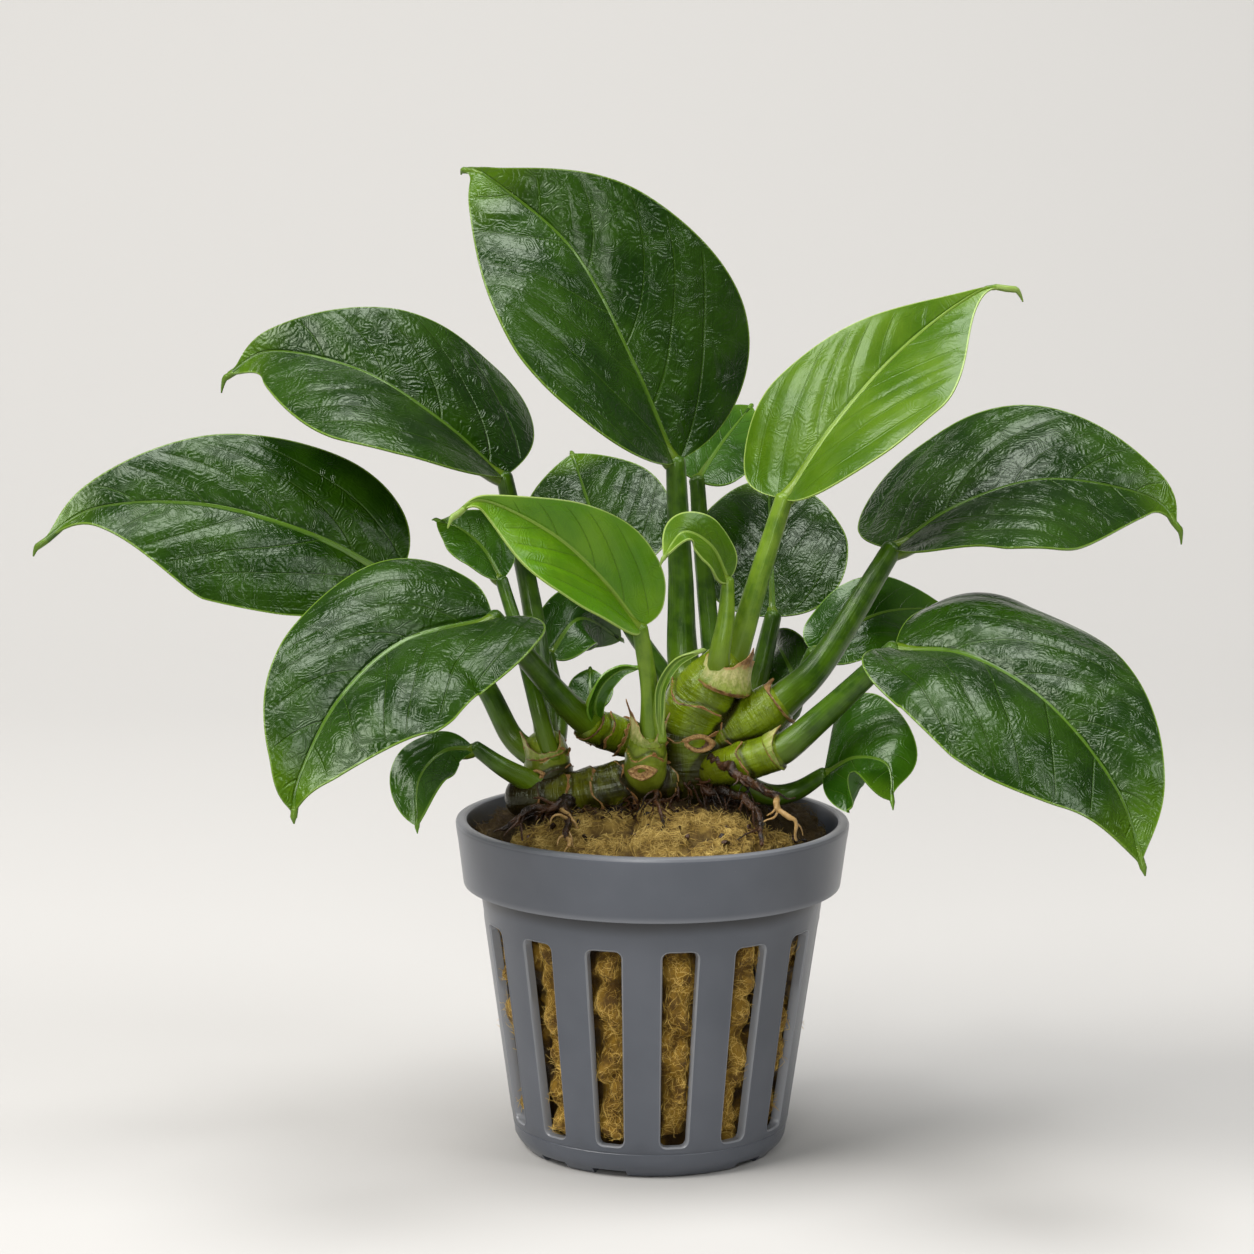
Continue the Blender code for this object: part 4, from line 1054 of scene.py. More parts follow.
def addRhizome(name, stem, skin, papery):
    path, radii = stemPath(stem["course"], stem["radii"], 0.20)
    others, reaches = stemsNear(name)
    seed = Vector((len(path) * 1.3, 4.0, 7.0))
    lead = radii[0] * 0.7

    def shape(run, angle, place, outward):
        swell = 1 + 0.05 * noise.noise(place * 0.30 + seed) + 0.012 * noise.noise(place * 1.1)
        collar = 0.0
        ageAndShade = smoothStep(stem["oldFor"], 0.0, run) * 0.9
        # painted shade on the stem's left side
        ageAndShade += stem.get("shade", 0.0) * smoothStep(0.2, -0.8, outward.x) * smoothStep(15.0, 9.0, run)
        # painted shade in the crevices where another rhizome comes close
        middle, index, distance = others.find(place)
        ageAndShade += 0.85 * smoothStep(1.3, 0.2, distance - reaches[index])
        for node in stem["nodes"]:
            # each ring climbs to a thin edge and then drops; damp dark skin gathers behind it
            slip = run - lead - node - ringSlip(outward, node)
            if -2.0 < slip < 1.6:
                swell += 0.070 * smoothStep(-1.8, 0.0, slip) * smoothStep(0.30, 0.0, slip)
                collar = max(collar, math.exp(-((slip + 0.02) / 0.12) ** 2))
                ageAndShade += 0.55 * math.exp(-((slip - 0.45) / 0.35) ** 2)
        wrinkle = noise.noise(Vector((outward.x * 1.4, outward.y * 1.4, run * 2.3)) + seed)
        swell += 0.010 * wrinkle + 0.006 * noise.noise(Vector((outward.x * 2, outward.z * 2, run * 5.0)))
        return swell, collar, ageAndShade

    bm = newStemMesh()
    domedPath, domedRadii = domed(path, radii, 6)
    growTube(bm, domedPath, domedRadii, 60, shape)
    addCollars(bm, stem["nodes"], path, radii)
    finishPiece(bm, name + "_skin", [name], [skin, papery])


def addCollars(bm, nodes, path, radii):
    # thin torn strips that stand on the rings, each a low open cylinder with faces taken out
    look = collarShape
    spacing = (path[1] - path[0]).length
    for node in nodes:
        at = min(int(node / spacing), len(path) - 2)
        heading = (path[at + 1] - path[at]).normalized()
        sideways = heading.orthogonal().normalized()
        other = heading.cross(sideways)
        strip = newStemMesh()
        collar = strip.verts.layers.float["collar"]
        straight = strip.verts.layers.float_vector["straight"]
        ageAndShadeLayer = strip.verts.layers.float["ageAndShade"]
        raiseCircle(strip, look["segments"], look["rows"])
        for vert in strip.verts:
            up = vert.co.z / look["rows"]
            outward = sideways * vert.co.x + other * vert.co.y
            tall = look["height"] * (0.7 + 1.5 * noise.noise(outward * 3.4 + Vector((0, node, 5))))
            tall = max(tall, 0.12) * up
            reach = radii[at] * 1.045 + (look["flare"] * tall / look["height"]) * up
            reach += 0.10 * up * noise.noise(outward * 6.0 + Vector((node, 0, 2)))
            place = path[at] + heading * (ringSlip(outward, node) + tall - 0.08) + outward * reach
            vert.co = place * mm
            vert[collar] = 1.0
            vert[ageAndShadeLayer] = 0.35 * up
            vert[straight] = (outward.x * radii[at], outward.y * radii[at], node + tall)
        bare = []
        for face in strip.faces:
            outward = face.calc_center_median() / mm - path[at]
            outward = (outward - heading * outward.dot(heading)).normalized()
            if noise.noise(outward * 1.5 + Vector((3, 0, node * 2.1))) < look["torn"]:
                bare.append(face)
        bmesh.ops.delete(strip, geom=bare, context="FACES")
        if strip.faces:
            thicken(strip, look["thickness"])
        for face in strip.faces:
            face.material_index = 1
        joinInto(bm, strip)


# Leaf scars

scars = {
    "scar_trunk": dict(
        at=(5.7, -7.25, 53.3), facing=(0.25, -1.0, -0.05), half=(2.1, 1.22), tilt=-6, dark=1.0),
    "scar_front": dict(
        at=(-1.4, -10.85, 50.3), facing=(-0.15, -1.0, -0.10), half=(1.6, 1.05), tilt=5, dark=0.35),
    "scar_crown": dict(
        at=(-14.6, -5.9, 48.9), facing=(-0.4, -1.0, 0.1), half=(1.05, 0.7), tilt=12, dark=0.6),
}


def addScar(name, scar, material):
    # a lens-shaped pad with a raised corky rim and a sunken, wrinkled middle
    facing = Vector(scar["facing"]).normalized()
    wide = Vector((0, 0, 1)).cross(facing).normalized() * -1
    wide = Matrix.Rotation(math.radians(scar["tilt"]), 3, facing) @ wide
    high = facing.cross(wide)
    if high.z < 0:
        high = -high
    halfWide, halfHigh = scar["half"]
    bm = newStemMesh()
    collar = bm.verts.layers.float["collar"]
    straight = bm.verts.layers.float_vector["straight"]
    ageAndShadeLayer = bm.verts.layers.float["ageAndShade"]
    bmesh.ops.create_grid(bm, x_segments=40, y_segments=28, size=1.0)
    for vert in bm.verts:
        u, v = vert.co.x, vert.co.y
        x = u * math.sqrt(1 - v * v / 2)
        y = v * math.sqrt(1 - u * u / 2)
        q = math.hypot(x, y)
        x *= 1 + 0.22 * abs(x) ** 3
        y *= 1 - 0.30 * x * x
        rough = noise.noise(Vector((x * 3, y * 3, halfWide)))
        crease = noise.noise(Vector((x * 2, y * 9, halfHigh)))
        rim = math.exp(-((q - 0.76 - 0.05 * rough) / 0.13) ** 2)
        lift = 0.34 * rim * (1 + 0.5 * rough) + 0.06 * crease * (1 - q * q)
        lift -= 0.16 * smoothStep(0.7, 0.3, q) + 0.75 * smoothStep(0.86, 1.0, q)
        lift += 0.12 - 0.10 * (x * halfWide) ** 2
        place = Vector(scar["at"]) + wide * (x * halfWide) + high * (y * halfHigh) + facing * lift
        vert.co = place * mm
        vert[collar] = rim
        vert[straight] = (x * 3, y * 3, 0.5 * q)
        vert[ageAndShadeLayer] = scar["dark"] * smoothStep(0.72, 0.45, q) + 0.6 * smoothStep(0.84, 1.0, q)
    thicken(bm, 0.10)
    finishPiece(bm, name, [], [material], 180.0)


# Roots, rolled new leaves and sheaths

# tan is the share of the length past which a root is pale; above 1 it stays dark
roots = {
    "root_left": dict(
        course=[(-10.4, -8.6, 46.2), (-14, -10, 45.9), (-18.6, -10.4, 43.6)],
        radii=(0.75, 0.50, 0.22), tan=2.0),
    "root_front": dict(
        course=[(-10.6, -8.9, 46.2), (-10.6, -13, 44.9), (-10.2, -18.6, 42.6)],
        radii=(0.75, 0.48, 0.22), tan=0.86),
    "root_right": dict(
        course=[(7.2, -7.4, 51.6), (10.6, -12, 50.4), (14, -14, 48.4), (16.6, -15.2, 45.6),
                (17.4, -15.8, 43)],
        radii=(0.56, 0.50, 0.42, 0.30, 0.16), tan=0.66),
    "root_wet": dict(
        course=[(6.4, -7, 47.6), (10.8, -11, 47.2), (12.6, -14.6, 45.4), (13.2, -18, 42.8)],
        radii=(0.60, 0.46, 0.36, 0.22), tan=2.0),
    "root_thin": dict(
        course=[(0.4, -8, 47.2), (0.8, -11.4, 46.8), (1, -15.4, 44.6)],
        radii=(0.34, 0.28, 0.14), tan=1.2),
}

# young leaves that are still narrow and folded
newLeaves = {
    "new_leaf_left": dict(
        midrib=[(-6.9, -3.4, 54.6), (-7.4, -5.2, 57.6), (-6.4, -6.0, 60.4), (-4.2, -6.2, 62.3),
                (-1.7, -6.2, 62.6)],
        roll=(35, 20), fold=34, curl=12, half=(1.5, 1.4), widest=(0.5, 0.5), taper=(0.8, 0.8),
        hook=(0.5, 0.2), finish="small", veins=2, pleat=0.0, wave=0.15),
    "new_leaf_front": dict(
        midrib=[(1.0, -10.7, 54.2), (0.7, -11.6, 58.0), (1.0, -12.0, 61.4), (2.8, -11.8, 64.3),
                (6.0, -11.0, 65.6)],
        roll=(-30, 20), fold=32, curl=10, half=(0.60, 0.70), widest=(0.6, 0.6), taper=(0.7, 0.7),
        hook=(0.5, 0.2), finish="young", veins=2, pleat=0.0, wave=0.15),
}


# torn leaf bases that clasp a stem: the axis from low to high, and the height of the torn edge by
# direction in degrees, 0 towards the front
sheathCups = {
    "sheath_front": dict(
        low=(-0.75, -9.0, 53.2), high=(-0.55, -9.5, 57.5), radius=2.30, flare=0.20, dry=0.0,
        heights=((-180, 2.2), (-120, 3.0), (-75, 6.4), (-35, 3.2), (8, 1.1), (45, 3.0), (80, 4.6),
                 (130, 3.0), (180, 2.2))),
    "sheath_centre": dict(
        low=(8.4, -4.1, 60.2), high=(9.8, -4.7, 64.2), radius=4.25, close=0.26, flare=0.05, dry=0.22,
        heights=((-180, 2.6), (-86, 3.2), (-44, 5.6), (-20, 3.2), (4, 3.7), (50, 6.4), (88, 4.2),
                 (130, 2.6), (180, 2.6))),
    "sheath_top": dict(
        low=(4.9, -1.4, 58.9), high=(4.3, -0.4, 61.4), radius=2.95, flare=0.20, dry=0.75,
        heights=((-180, 0.4), (-70, 0.7), (-20, 1.3), (30, 0.8), (66, 3.0), (100, 0.8), (180, 0.4))),
    "sheath_right": dict(
        low=(15.3, -4.0, 57.5), high=(17.6, -3.9, 59.4), radius=3.20, flare=0.60, dry=0.75,
        heights=((-180, 0.5), (-104, 0.8), (-76, 2.5), (-48, 0.7), (20, 0.5), (62, 0.9), (110, 0.4),
                 (180, 0.5))),
    "sheath_lower_right": dict(
        low=(14.5, -9.0, 52.3), high=(17.0, -9.5, 54.0), radius=2.60, flare=0.40, dry=0.05,
        heights=((-180, 1.0), (-112, 1.4), (-74, 3.4), (-36, 1.5), (40, 0.8), (120, 0.8), (180, 1.0))),
    "sheath_left": dict(
        low=(-7.7, -2.9, 54.6), high=(-9.9, -4.6, 56.9), radius=2.45, flare=0.50, dry=0.65,
        heights=((-180, 1.0), (-60, 0.6), (40, 0.7), (108, 2.7), (146, 1.1), (180, 1.0))),
    "sheath_crown": dict(
        low=(-13.4, -3.7, 50.8), high=(-14.3, -3.9, 54.8), radius=2.75, flare=0.10, dry=0.20,
        heights=((-180, 1.0), (-112, 1.5), (-66, 4.4), (-22, 1.3), (30, 1.0), (78, 3.4), (124, 1.2),
                 (180, 1.0))),
}
sheathShape = {"wall": 0.13, "rows": 14, "columns": 72}


def heightAround(heights, degrees):
    for (a, low), (b, high) in zip(heights, heights[1:]):
        if degrees <= b:
            t = (degrees - a) / (b - a)
            return low + (high - low) * t ** (2.0 if high > low else 0.5)
    return heights[-1][1]


def addSheathCup(name, cup, material):
    # a flared open cone of rings extruded upwards, each column as tall as the torn edge is there
    bm = newStemMesh()
    straight = bm.verts.layers.float_vector["straight"]
    collar = bm.verts.layers.float["collar"]
    raiseCircle(bm, sheathShape["columns"], sheathShape["rows"])
    low, high = Vector(cup["low"]), Vector(cup["high"])
    rising = (high - low).normalized()
    front = (Vector((0, -1, 0)) + rising * rising.y).normalized()
    right = rising.cross(front)
    seed = low.x
    for vert in bm.verts:
        up = vert.co.z / sheathShape["rows"]
        angle = math.atan2(vert.co.x, -vert.co.y)
        degrees = math.degrees(angle)
        ragged = 1 + 0.12 * noise.noise(Vector((degrees * 0.09, seed, 2)))
        run = heightAround(cup["heights"], degrees) * ragged * up
        outward = front * math.cos(angle) + right * math.sin(angle)
        reach = cup["radius"] * (1 - 0.12 * math.sin(math.pi * min(run / 6, 1)))
        reach += cup["flare"] * (run / 3) ** 2
        reach -= cup.get("close", 0.0) * run + 0.55 * smoothStep(0.5, 0.0, run)
        reach += 0.03 * math.sin(degrees * 0.35)
        reach += 0.14 * up * noise.noise(Vector((degrees * 0.06, up * 2, seed)))
        vert.co = (low + rising * run + outward * reach) * mm
        vert[straight] = (angle * cup["radius"], 0.0, run)
        vert[collar] = cup["dry"] + smoothStep(2.6, 6.0, run) + 0.50 * smoothStep(0.84, 1.0, up)
        vert[collar] += 0.60 * smoothStep(0.75, 0.30, run)
    thicken(bm, sheathShape["wall"])
    replaced = [name] if name in slotOf else []
    finishPiece(bm, name + "_cup", replaced, [material])


def addRoot(name, root, material):
    # knobbly, wandering, with side roots; past its tan share it turns pale
    path, radii = stemPath(root["course"], root["radii"], 0.22)
    seed = Vector((3.0, len(path), 1.0))
    for i, point in enumerate(path):
        away = noise.noise_vector(point * 0.40 + seed) * 0.9 + noise.noise_vector(point * 1.1 + seed) * 0.25
        path[i] = point + away * smoothStep(0, 8, i)
    length = 0.22 * len(path)

    def shape(run, angle, place, outward):
        knobs = 0.45 * noise.noise(place * 1.5 + seed) + 0.30 * noise.noise(place * 4.2)
        paling = smoothStep(root["tan"] * length, (root["tan"] + 0.15) * length, run)
        return 1.05 + knobs, paling, 0.0

    def sideShape(run, angle, place, outward):
        pale = 1.0 if root["tan"] < 1 and place.z < 47 else 0.0
        return 1 + 0.3 * noise.noise(place * 2.0 + seed), pale, 0.0

    bm = newStemMesh()
    tubePath, tubeRadii = domed(path, radii)
    growTube(bm, tubePath, tubeRadii, 20, shape)
    dice = random.Random(len(path))
    for branch in range(7):
        # side roots leave at a slant and droop
        part = newStemMesh()
        at = int(len(path) * (0.22 + 0.105 * branch))
        heading = (path[at] - path[at - 1]).normalized()
        aside = Vector((dice.choice((-1, 1)), dice.uniform(-0.6, 0.3), -0.3))
        side = [path[at].copy()]
        for step in range(dice.randint(8, 17)):
            heading = (heading + aside * 0.12 + noise.noise_vector(side[-1] * 0.8) * 0.55).normalized()
            heading = (heading + Vector((0, 0, -0.05))).normalized()
            side.append(side[-1] + heading * 0.30)
        slim = [radii[at] * 0.55 * (1 - 0.7 * step / len(side)) for step in range(len(side))]
        side, slim = domed(side, slim, 3)
        growTube(part, side, slim, 10, sideShape)
        joinInto(bm, part)
    finishPiece(bm, name + "_skin", [name], [material])


# Rootlets and crumbs

rootletShape = {"count": 120, "thickness": 0.26}
crumbShape = {"count": 60, "size": (0.30, 0.80), "reach": 21.5}


def addRootlets(tree, material):
    # thin wandering roots from the underside of the rhizome down to the wool
    dice = random.Random(21)
    lines = []
    for number in range(rootletShape["count"]):
        share = dice.random()
        if number % 3:
            start = Vector((-15 + 17 * share, -7.6 + dice.uniform(-0.6, 0.8), 45.3 + share))
        else:
            start = Vector((3 + 9 * share, -6.6 + dice.uniform(-0.8, 0.8), 48.2 + dice.uniform(-0.8, 1.2)))
        heading = Vector((dice.uniform(-0.7, 0.9), dice.uniform(-0.9, -0.1), dice.uniform(-0.9, 0.0)))
        point = start
        thick = dice.uniform(0.35, 1.0)
        steps = dice.randint(9, 16)
        line = []
        for step in range(steps):
            line.append((point * mm, thick * (1 - 0.72 * step / steps)))
            stray = noise.noise_vector(point * 0.9 + Vector((number, 0, 0)))
            heading += stray * 0.9 + Vector((0, 0, -0.16))
            point = point + heading.normalized() * dice.uniform(0.35, 0.60)
            near, normal = tree.find_nearest(point * mm)[:2]
            floor = near.z / mm + 0.10
            if (point * mm - near).dot(normal) < 0 or point.z < floor:
                point = Vector((point.x, point.y, max(point.z, floor)))
                heading.z = abs(heading.z) * 0.3
        lines.append(line)
    strandPiece("root_tangle", lines, rootletShape["thickness"], 1, material)


def addCrumbs(tree, material):
    # bits of bark and dead root lying on the wool
    dice = random.Random(33)
    bm = newStemMesh()
    for number in range(crumbShape["count"]):
        spot = Vector((dice.gauss(0, 9.5), dice.gauss(-10, 4.5), 44))
        if math.hypot(spot.x, spot.y) > crumbShape["reach"]:
            continue
        near = tree.find_nearest(spot * mm)[0]
        size = dice.uniform(*crumbShape["size"])
        turn = Vector([dice.uniform(-3, 3) for axis in range(3)])
        stretch = Matrix.Diagonal((size * mm, size * dice.uniform(0.3, 0.8) * mm, size * 0.35 * mm, 1))
        spin = Matrix.Rotation(turn.length, 4, turn.normalized())
        crumb = bmesh.ops.create_icosphere(bm, subdivisions=2, radius=1.0,
                                           matrix=Matrix.Translation(near) @ spin @ stretch)["verts"]
        for vert in crumb:
            vert.co += noise.noise_vector(vert.co / mm * 2.5) * (0.35 * size * mm)
    finishPiece(bm, "wool_crumbs", [], [material])


# Net pot

potShape = {
    "rimRadius": 25.0, "rimTop": 42.4, "lipWidth": 1.5,
    "bandBottom": 34.1, "bandBottomRadius": 24.0,
    "bodyTopRadius": 21.95, "footRadius": 17.8, "footTop": 4.5, "baseRadius": 16.2,
    "wall": 1.25, "floor": 1.6,
    "slots": 14, "slotBottom": 4.25, "slotTop": 29.8, "slotBottomWidth": 3.4, "slotTopWidth": 4.5,
    "slotCorner": 0.8, "firstSlot": 9.3,
    "panelBottom": 3.45, "panelTop": 33.3, "panelColumns": 7,
    "drains": 5, "drainRadius": 1.9, "drainCircle": 9.5,
    "notches": (-75, -47, -18, 48, 70, 105, 135, 165, 200, 232),      # degrees, 0 at the front
    "notchWidth": 4.4, "notchHeight": 0.9,
    "flatRadius": 20.0,      # the radius at which the wall is laid out flat
}


def wallRadius(z):
    pot = potShape
    if z < pot["footTop"]:
        return pot["footRadius"] - 0.4 * (1 - (z - 1.8) / (pot["footTop"] - 1.8))
    share = (z - pot["footTop"]) / (pot["bandBottom"] - pot["footTop"])
    return pot["footRadius"] + (pot["bodyTopRadius"] - pot["footRadius"]) * share


def flatPanel():
    # one slot's share of the wall, laid flat: x round the pot, z up, y into the wall
    pot = potShape
    rings = (0.60, 0.38, 0.16, 0.0)       # how far each ring of edges is from the slot
    reach = rings[0]
    bm = bmesh.new()
    # edge marks where the painted highlight goes round each slot
    edge = bm.verts.layers.float.new("edge")
    low = (pot["slotBottomWidth"] / 2 / wallRadius(pot["slotBottom"])) * pot["flatRadius"] + reach
    high = (pot["slotTopWidth"] / 2 / wallRadius(pot["slotTop"])) * pot["flatRadius"] + reach
    corners = [(-low, pot["slotBottom"] - reach), (low, pot["slotBottom"] - reach),
               (high, pot["slotTop"] + reach), (-high, pot["slotTop"] + reach)]
    bm.faces.new([bm.verts.new((x, 0, z)) for x, z in corners])
    bmesh.ops.bevel(bm, geom=bm.verts[:], offset=pot["slotCorner"] + reach, offset_type="OFFSET",
                    segments=4, profile=0.5, affect="VERTICES", material=-1)
    tall = [e for e in bm.edges if abs(e.verts[0].co.z - e.verts[1].co.z) > 10]
    wide = [e for e in bm.edges if abs(e.verts[0].co.x - e.verts[1].co.x) > 2]
    bmesh.ops.bisect_edges(bm, edges=tall, cuts=11)
    bmesh.ops.bisect_edges(bm, edges=wide, cuts=2)
    for outer, inner, depth in zip(rings, rings[1:], (0.0, -0.05, 0.16)):
        face = max(bm.faces, key=lambda f: len(f.verts))
        bmesh.ops.inset_region(bm, faces=[face], thickness=outer - inner, depth=0.0,
                               use_boundary=True, use_even_offset=True)
        face = max(bm.faces, key=lambda f: len(f.verts))
        for vert in face.verts:
            vert.co.y = depth
            vert[edge] = 1.0 if depth else 0.0
    face = max(bm.faces, key=lambda f: len(f.verts))
    bmesh.ops.delete(bm, geom=[face], context="FACES_ONLY")
    # the outermost ring grows to the panel's straight border, its points evenly spaced on each side
    ringEdges = [e for e in bm.edges if len(e.link_faces) == 1 and all(v.co.y == 0.0 for v in e.verts)]
    border = only(BMVert, bmesh.ops.extrude_edge_only(bm, edges=ringEdges)["geom"])
    middle = (pot["slotBottom"] + pot["slotTop"]) / 2
    border.sort(key=lambda v: math.atan2(v.co.z - middle, v.co.x))
    turns = [min(range(len(border)), key=lambda i: math.hypot(border[i].co.x - x, border[i].co.z - z))
             for x, z in corners]
    edgeX = math.pi / pot["slots"] * pot["flatRadius"]
    low, high = pot["panelBottom"], pot["panelTop"]
    panel = [(-edgeX, low), (edgeX, low), (edgeX, high), (-edgeX, high)]
    for side in range(4):
        first, last = turns[side], turns[(side + 1) % 4]
        count = (last - first) % len(border)
        (x0, z0), (x1, z1) = panel[side], panel[(side + 1) % 4]
        for k in range(count):
            share = k / count
            border[(first + k) % len(border)].co = (x0 + (x1 - x0) * share, 0, z0 + (z1 - z0) * share)
    return bm


def addPot(material):
    pot = potShape
    # the inner face of the wall is a flat copy, and the slot's sides reach from one to the other
    bm = flatPanel()
    slotEdges = [e for e in bm.edges if len(e.link_faces) == 1 and all(v.co.y > 0.1 for v in e.verts)]
    copied = bmesh.ops.duplicate(bm, geom=bm.verts[:] + bm.edges[:] + bm.faces[:])["geom"]
    sides = bmesh.ops.extrude_edge_only(bm, edges=slotEdges)["geom"]
    for vert in only(BMVert, copied + sides):
        vert.co.y = pot["wall"] - vert.co.y * 0.5
    first = math.radians(pot["firstSlot"])
    for vert in bm.verts:
        radius = (wallRadius(vert.co.z) - vert.co.y) * mm
        angle = first + vert.co.x / pot["flatRadius"]
        vert.co = (radius * math.sin(angle), -radius * math.cos(angle), vert.co.z * mm)
    bmesh.ops.spin(bm, geom=bm.verts[:] + bm.edges[:] + bm.faces[:], cent=(0, 0, 0), axis=(0, 0, 1),
                   angle=math.tau * (pot["slots"] - 1) / pot["slots"], steps=pot["slots"] - 1,
                   use_duplicate=True)

    low, high = pot["panelBottom"], pot["panelTop"]
    rim, top = pot["rimRadius"], pot["rimTop"]
    band, bandRadius = pot["bandBottom"], pot["bandBottomRadius"]
    foot, base, wall, floor = pot["footRadius"], pot["baseRadius"], pot["wall"], pot["floor"]
    lip = rim - pot["lipWidth"]
    neck = wallRadius(band)
    under = [(0, 0), (7, 0), (13, 0), (base - 0.5, 0), (base - 0.1, 0.12), (base + 0.25, 0.45),
             (base + 0.8, 1.1), (foot - 0.42, 1.8), (foot - 0.34, 2.5), (wallRadius(3.2), 3.2),
             (wallRadius(3.27) - 0.07, 3.27), (wallRadius(3.36) - 0.07, 3.36), (wallRadius(low), low)]
    over = [(wallRadius(high), high), (neck - 0.02, band - 0.35), (neck + 0.15, band - 0.08),
            (neck + 0.5, band), (bandRadius - 0.22, band), (bandRadius - 0.06, band + 0.06),
            (bandRadius, band + 0.22), (bandRadius + 0.35, band + 3.0), (bandRadius + 0.68, band + 5.6),
            (rim - 0.12, top - 1.5), (rim - 0.02, top - 0.75), (rim, top - 0.45),
            (rim - 0.12, top - 0.14), (rim - 0.42, top), (lip + 0.45, top), (lip + 0.14, top - 0.12),
            (lip, top - 0.42), (bandRadius - wall + 0.35, band + 4.6), (bandRadius - wall, band + wall),
            (neck - wall + 0.2, band + 0.2), (wallRadius(high) - wall, high)]
    inside = [(wallRadius(low) - wall, low), (base - 0.2, floor + 0.5), (base - 0.9, floor), (0, floor)]
    start = first - math.pi / pot["slots"]
    edge = bm.verts.layers.float["edge"]
    # painted highlights along the band's lower edge and the rim's top
    bright = (band + 0.06, band + 0.22, top - 0.45, top - 0.14, top)
    for outline in (under, over, inside):
        verts, edges = drawLine(bm, [(r * mm * math.sin(start), -r * mm * math.cos(start), z * mm)
                                     for r, z in outline])
        for vert, (r, z) in zip(verts, outline):
            vert[edge] = 0.8 if z in bright and r > bandRadius - 0.3 else 0.0
        bmesh.ops.spin(bm, geom=verts + edges, cent=(0, 0, 0), axis=(0, 0, 1), angle=math.tau,
                       steps=pot["slots"] * pot["panelColumns"], use_merge=True, use_duplicate=False)
    bmesh.ops.remove_doubles(bm, verts=bm.verts[:], dist=0.01 * mm)
    loose = [e for e in bm.edges if not e.link_faces]
    bmesh.ops.delete(bm, geom=loose, context="EDGES")
    print("pot open edges", sum(1 for e in bm.edges if len(e.link_faces) != 2))
    cutPot(finishPiece(bm, "net_pot_shell", ["net_pot"], [material], 38.0))


def cutPot(piece):
    # drain holes and the notches under the foot
    pot = potShape
    bm = bmesh.new()
    for degrees in pot["notches"]:
        turn = Matrix.Rotation(math.radians(degrees), 3, "Z")
        box = bmesh.ops.create_cube(bm, size=1.0)["verts"]
        bmesh.ops.scale(bm, verts=box, vec=(pot["notchWidth"] * mm, 6 * mm, 2 * pot["notchHeight"] * mm))
        bmesh.ops.translate(bm, verts=box, vec=(0, -(pot["baseRadius"] + 0.5) * mm, 0))
        bmesh.ops.rotate(bm, verts=box, cent=(0, 0, 0), matrix=turn)
    radius, circle = pot["drainRadius"] * mm, pot["drainCircle"] * mm
    for hole in range(pot["drains"]):
        angle = hole * math.tau / pot["drains"]
        at = Matrix.Translation((circle * math.cos(angle), circle * math.sin(angle), 0))
        bmesh.ops.create_cone(bm, cap_ends=True, segments=28, radius1=radius, radius2=radius,
                              depth=4 * pot["floor"] * mm, matrix=at)
    bmesh.ops.recalc_face_normals(bm, faces=bm.faces[:])
    cutter = addObject("foot_cuts", meshFrom(bm, "foot cuts"))
    cut = piece.modifiers.new("foot cuts", "BOOLEAN")
    cut.operation = "DIFFERENCE"
    cut.solver = "EXACT"
    cut.object = cutter
    carved = finalMesh(piece)
    piece.modifiers.clear()
    piece.data = carved
    bpy.data.objects.remove(cutter, do_unlink=True)


def potMaterial():
    material, tree, shader = newMaterial("grey pot plastic", {"IOR": 1.5})
    place = objectPlace(tree)
    cloud = noisy(tree, place, 0.07, 3.0, 0.6)
    speck = noisy(tree, place, 5.0, 2.0, 0.5)
    grain = noisy(tree, place, 9.0, 3.0, 0.6)
    colour = blend(tree, rise(tree, cloud, 0.3, 0.7), (0.076, 0.085, 0.104), (0.094, 0.103, 0.124))
    colour = blend(tree, times(tree, rise(tree, speck, 0.72, 0.80), 0.4), colour, (0.24, 0.24, 0.24))
    # painted shade under the band, painted highlights on the edges
    height = parts(tree, place)[2]
    underBandShade = rise(tree, scaled(tree, cloud, 1.5, height), 32.3, 34.3)
    underBandShade = times(tree, underBandShade, calc(tree, "LESS_THAN", height, potShape["bandBottom"] - 0.01))
    colour = blend(tree, times(tree, underBandShade, 0.85), colour, (0.014, 0.014, 0.015))
    # painted highlight along the slot edges, the band's lower edge and the rim's top
    toneShift = times(tree, rise(tree, attribute(tree, "edge"), 0.60, 1.0), 0.62)
    colour = blend(tree, toneShift, colour, (0.30, 0.31, 0.33))
    dress(tree, shader, colour, scaled(tree, cloud, 0.12, 0.24), grain, 0.012)
    return material


# Rock wool

woolShape = {
    "top": 45.4, "edge": 40.8, "bottom": 1.95,
    "segments": 224, "outlineSteps": 9,
    "lump": 2.9,             # depth of the hollows between lumps
    "lumpSize": 4.3,
    "swell": 0.95,           # how far it presses into the slots
    "swellBottom": 5.0, "swellTop": 29.5,
    "hollow": -0.85,         # no fibres start deeper than this
    "topFibres": 11000, "slotFibres": 6800,
    "topThickness": 0.042, "slotThickness": 0.030,
    "stride": (0.22, 0.50),
    "looseShare": 0.20,
}


def woolOutline():
    wool, pot = woolShape, potShape
    room = pot["wall"] + 0.20
    bottom, edge, top = wool["bottom"], wool["edge"], wool["top"]
    wide = pot["bandBottomRadius"] - room
    low = [(0, bottom), (8, bottom), (pot["baseRadius"] - 1.4, bottom)]
    side = [(wallRadius(z) - room, z) for z in (4.5, 9, 14, 19, 24, 29, 33)]
    return low + side + [(wide - 0.3, 36.5), (wide, edge - 0.8), (21, edge + 0.6), (17, edge + 2.4),
                         (11, top - 0.6), (5, top), (0, top)]


def slotOffset(place):
    # how far round the pot a place is from the middle of the nearest slot
    pot = potShape
    angle = math.atan2(place.x, -place.y) - math.radians(pot["firstSlot"])
    return abs(math.remainder(angle, math.tau / pot["slots"])) * math.hypot(place.x, place.y)


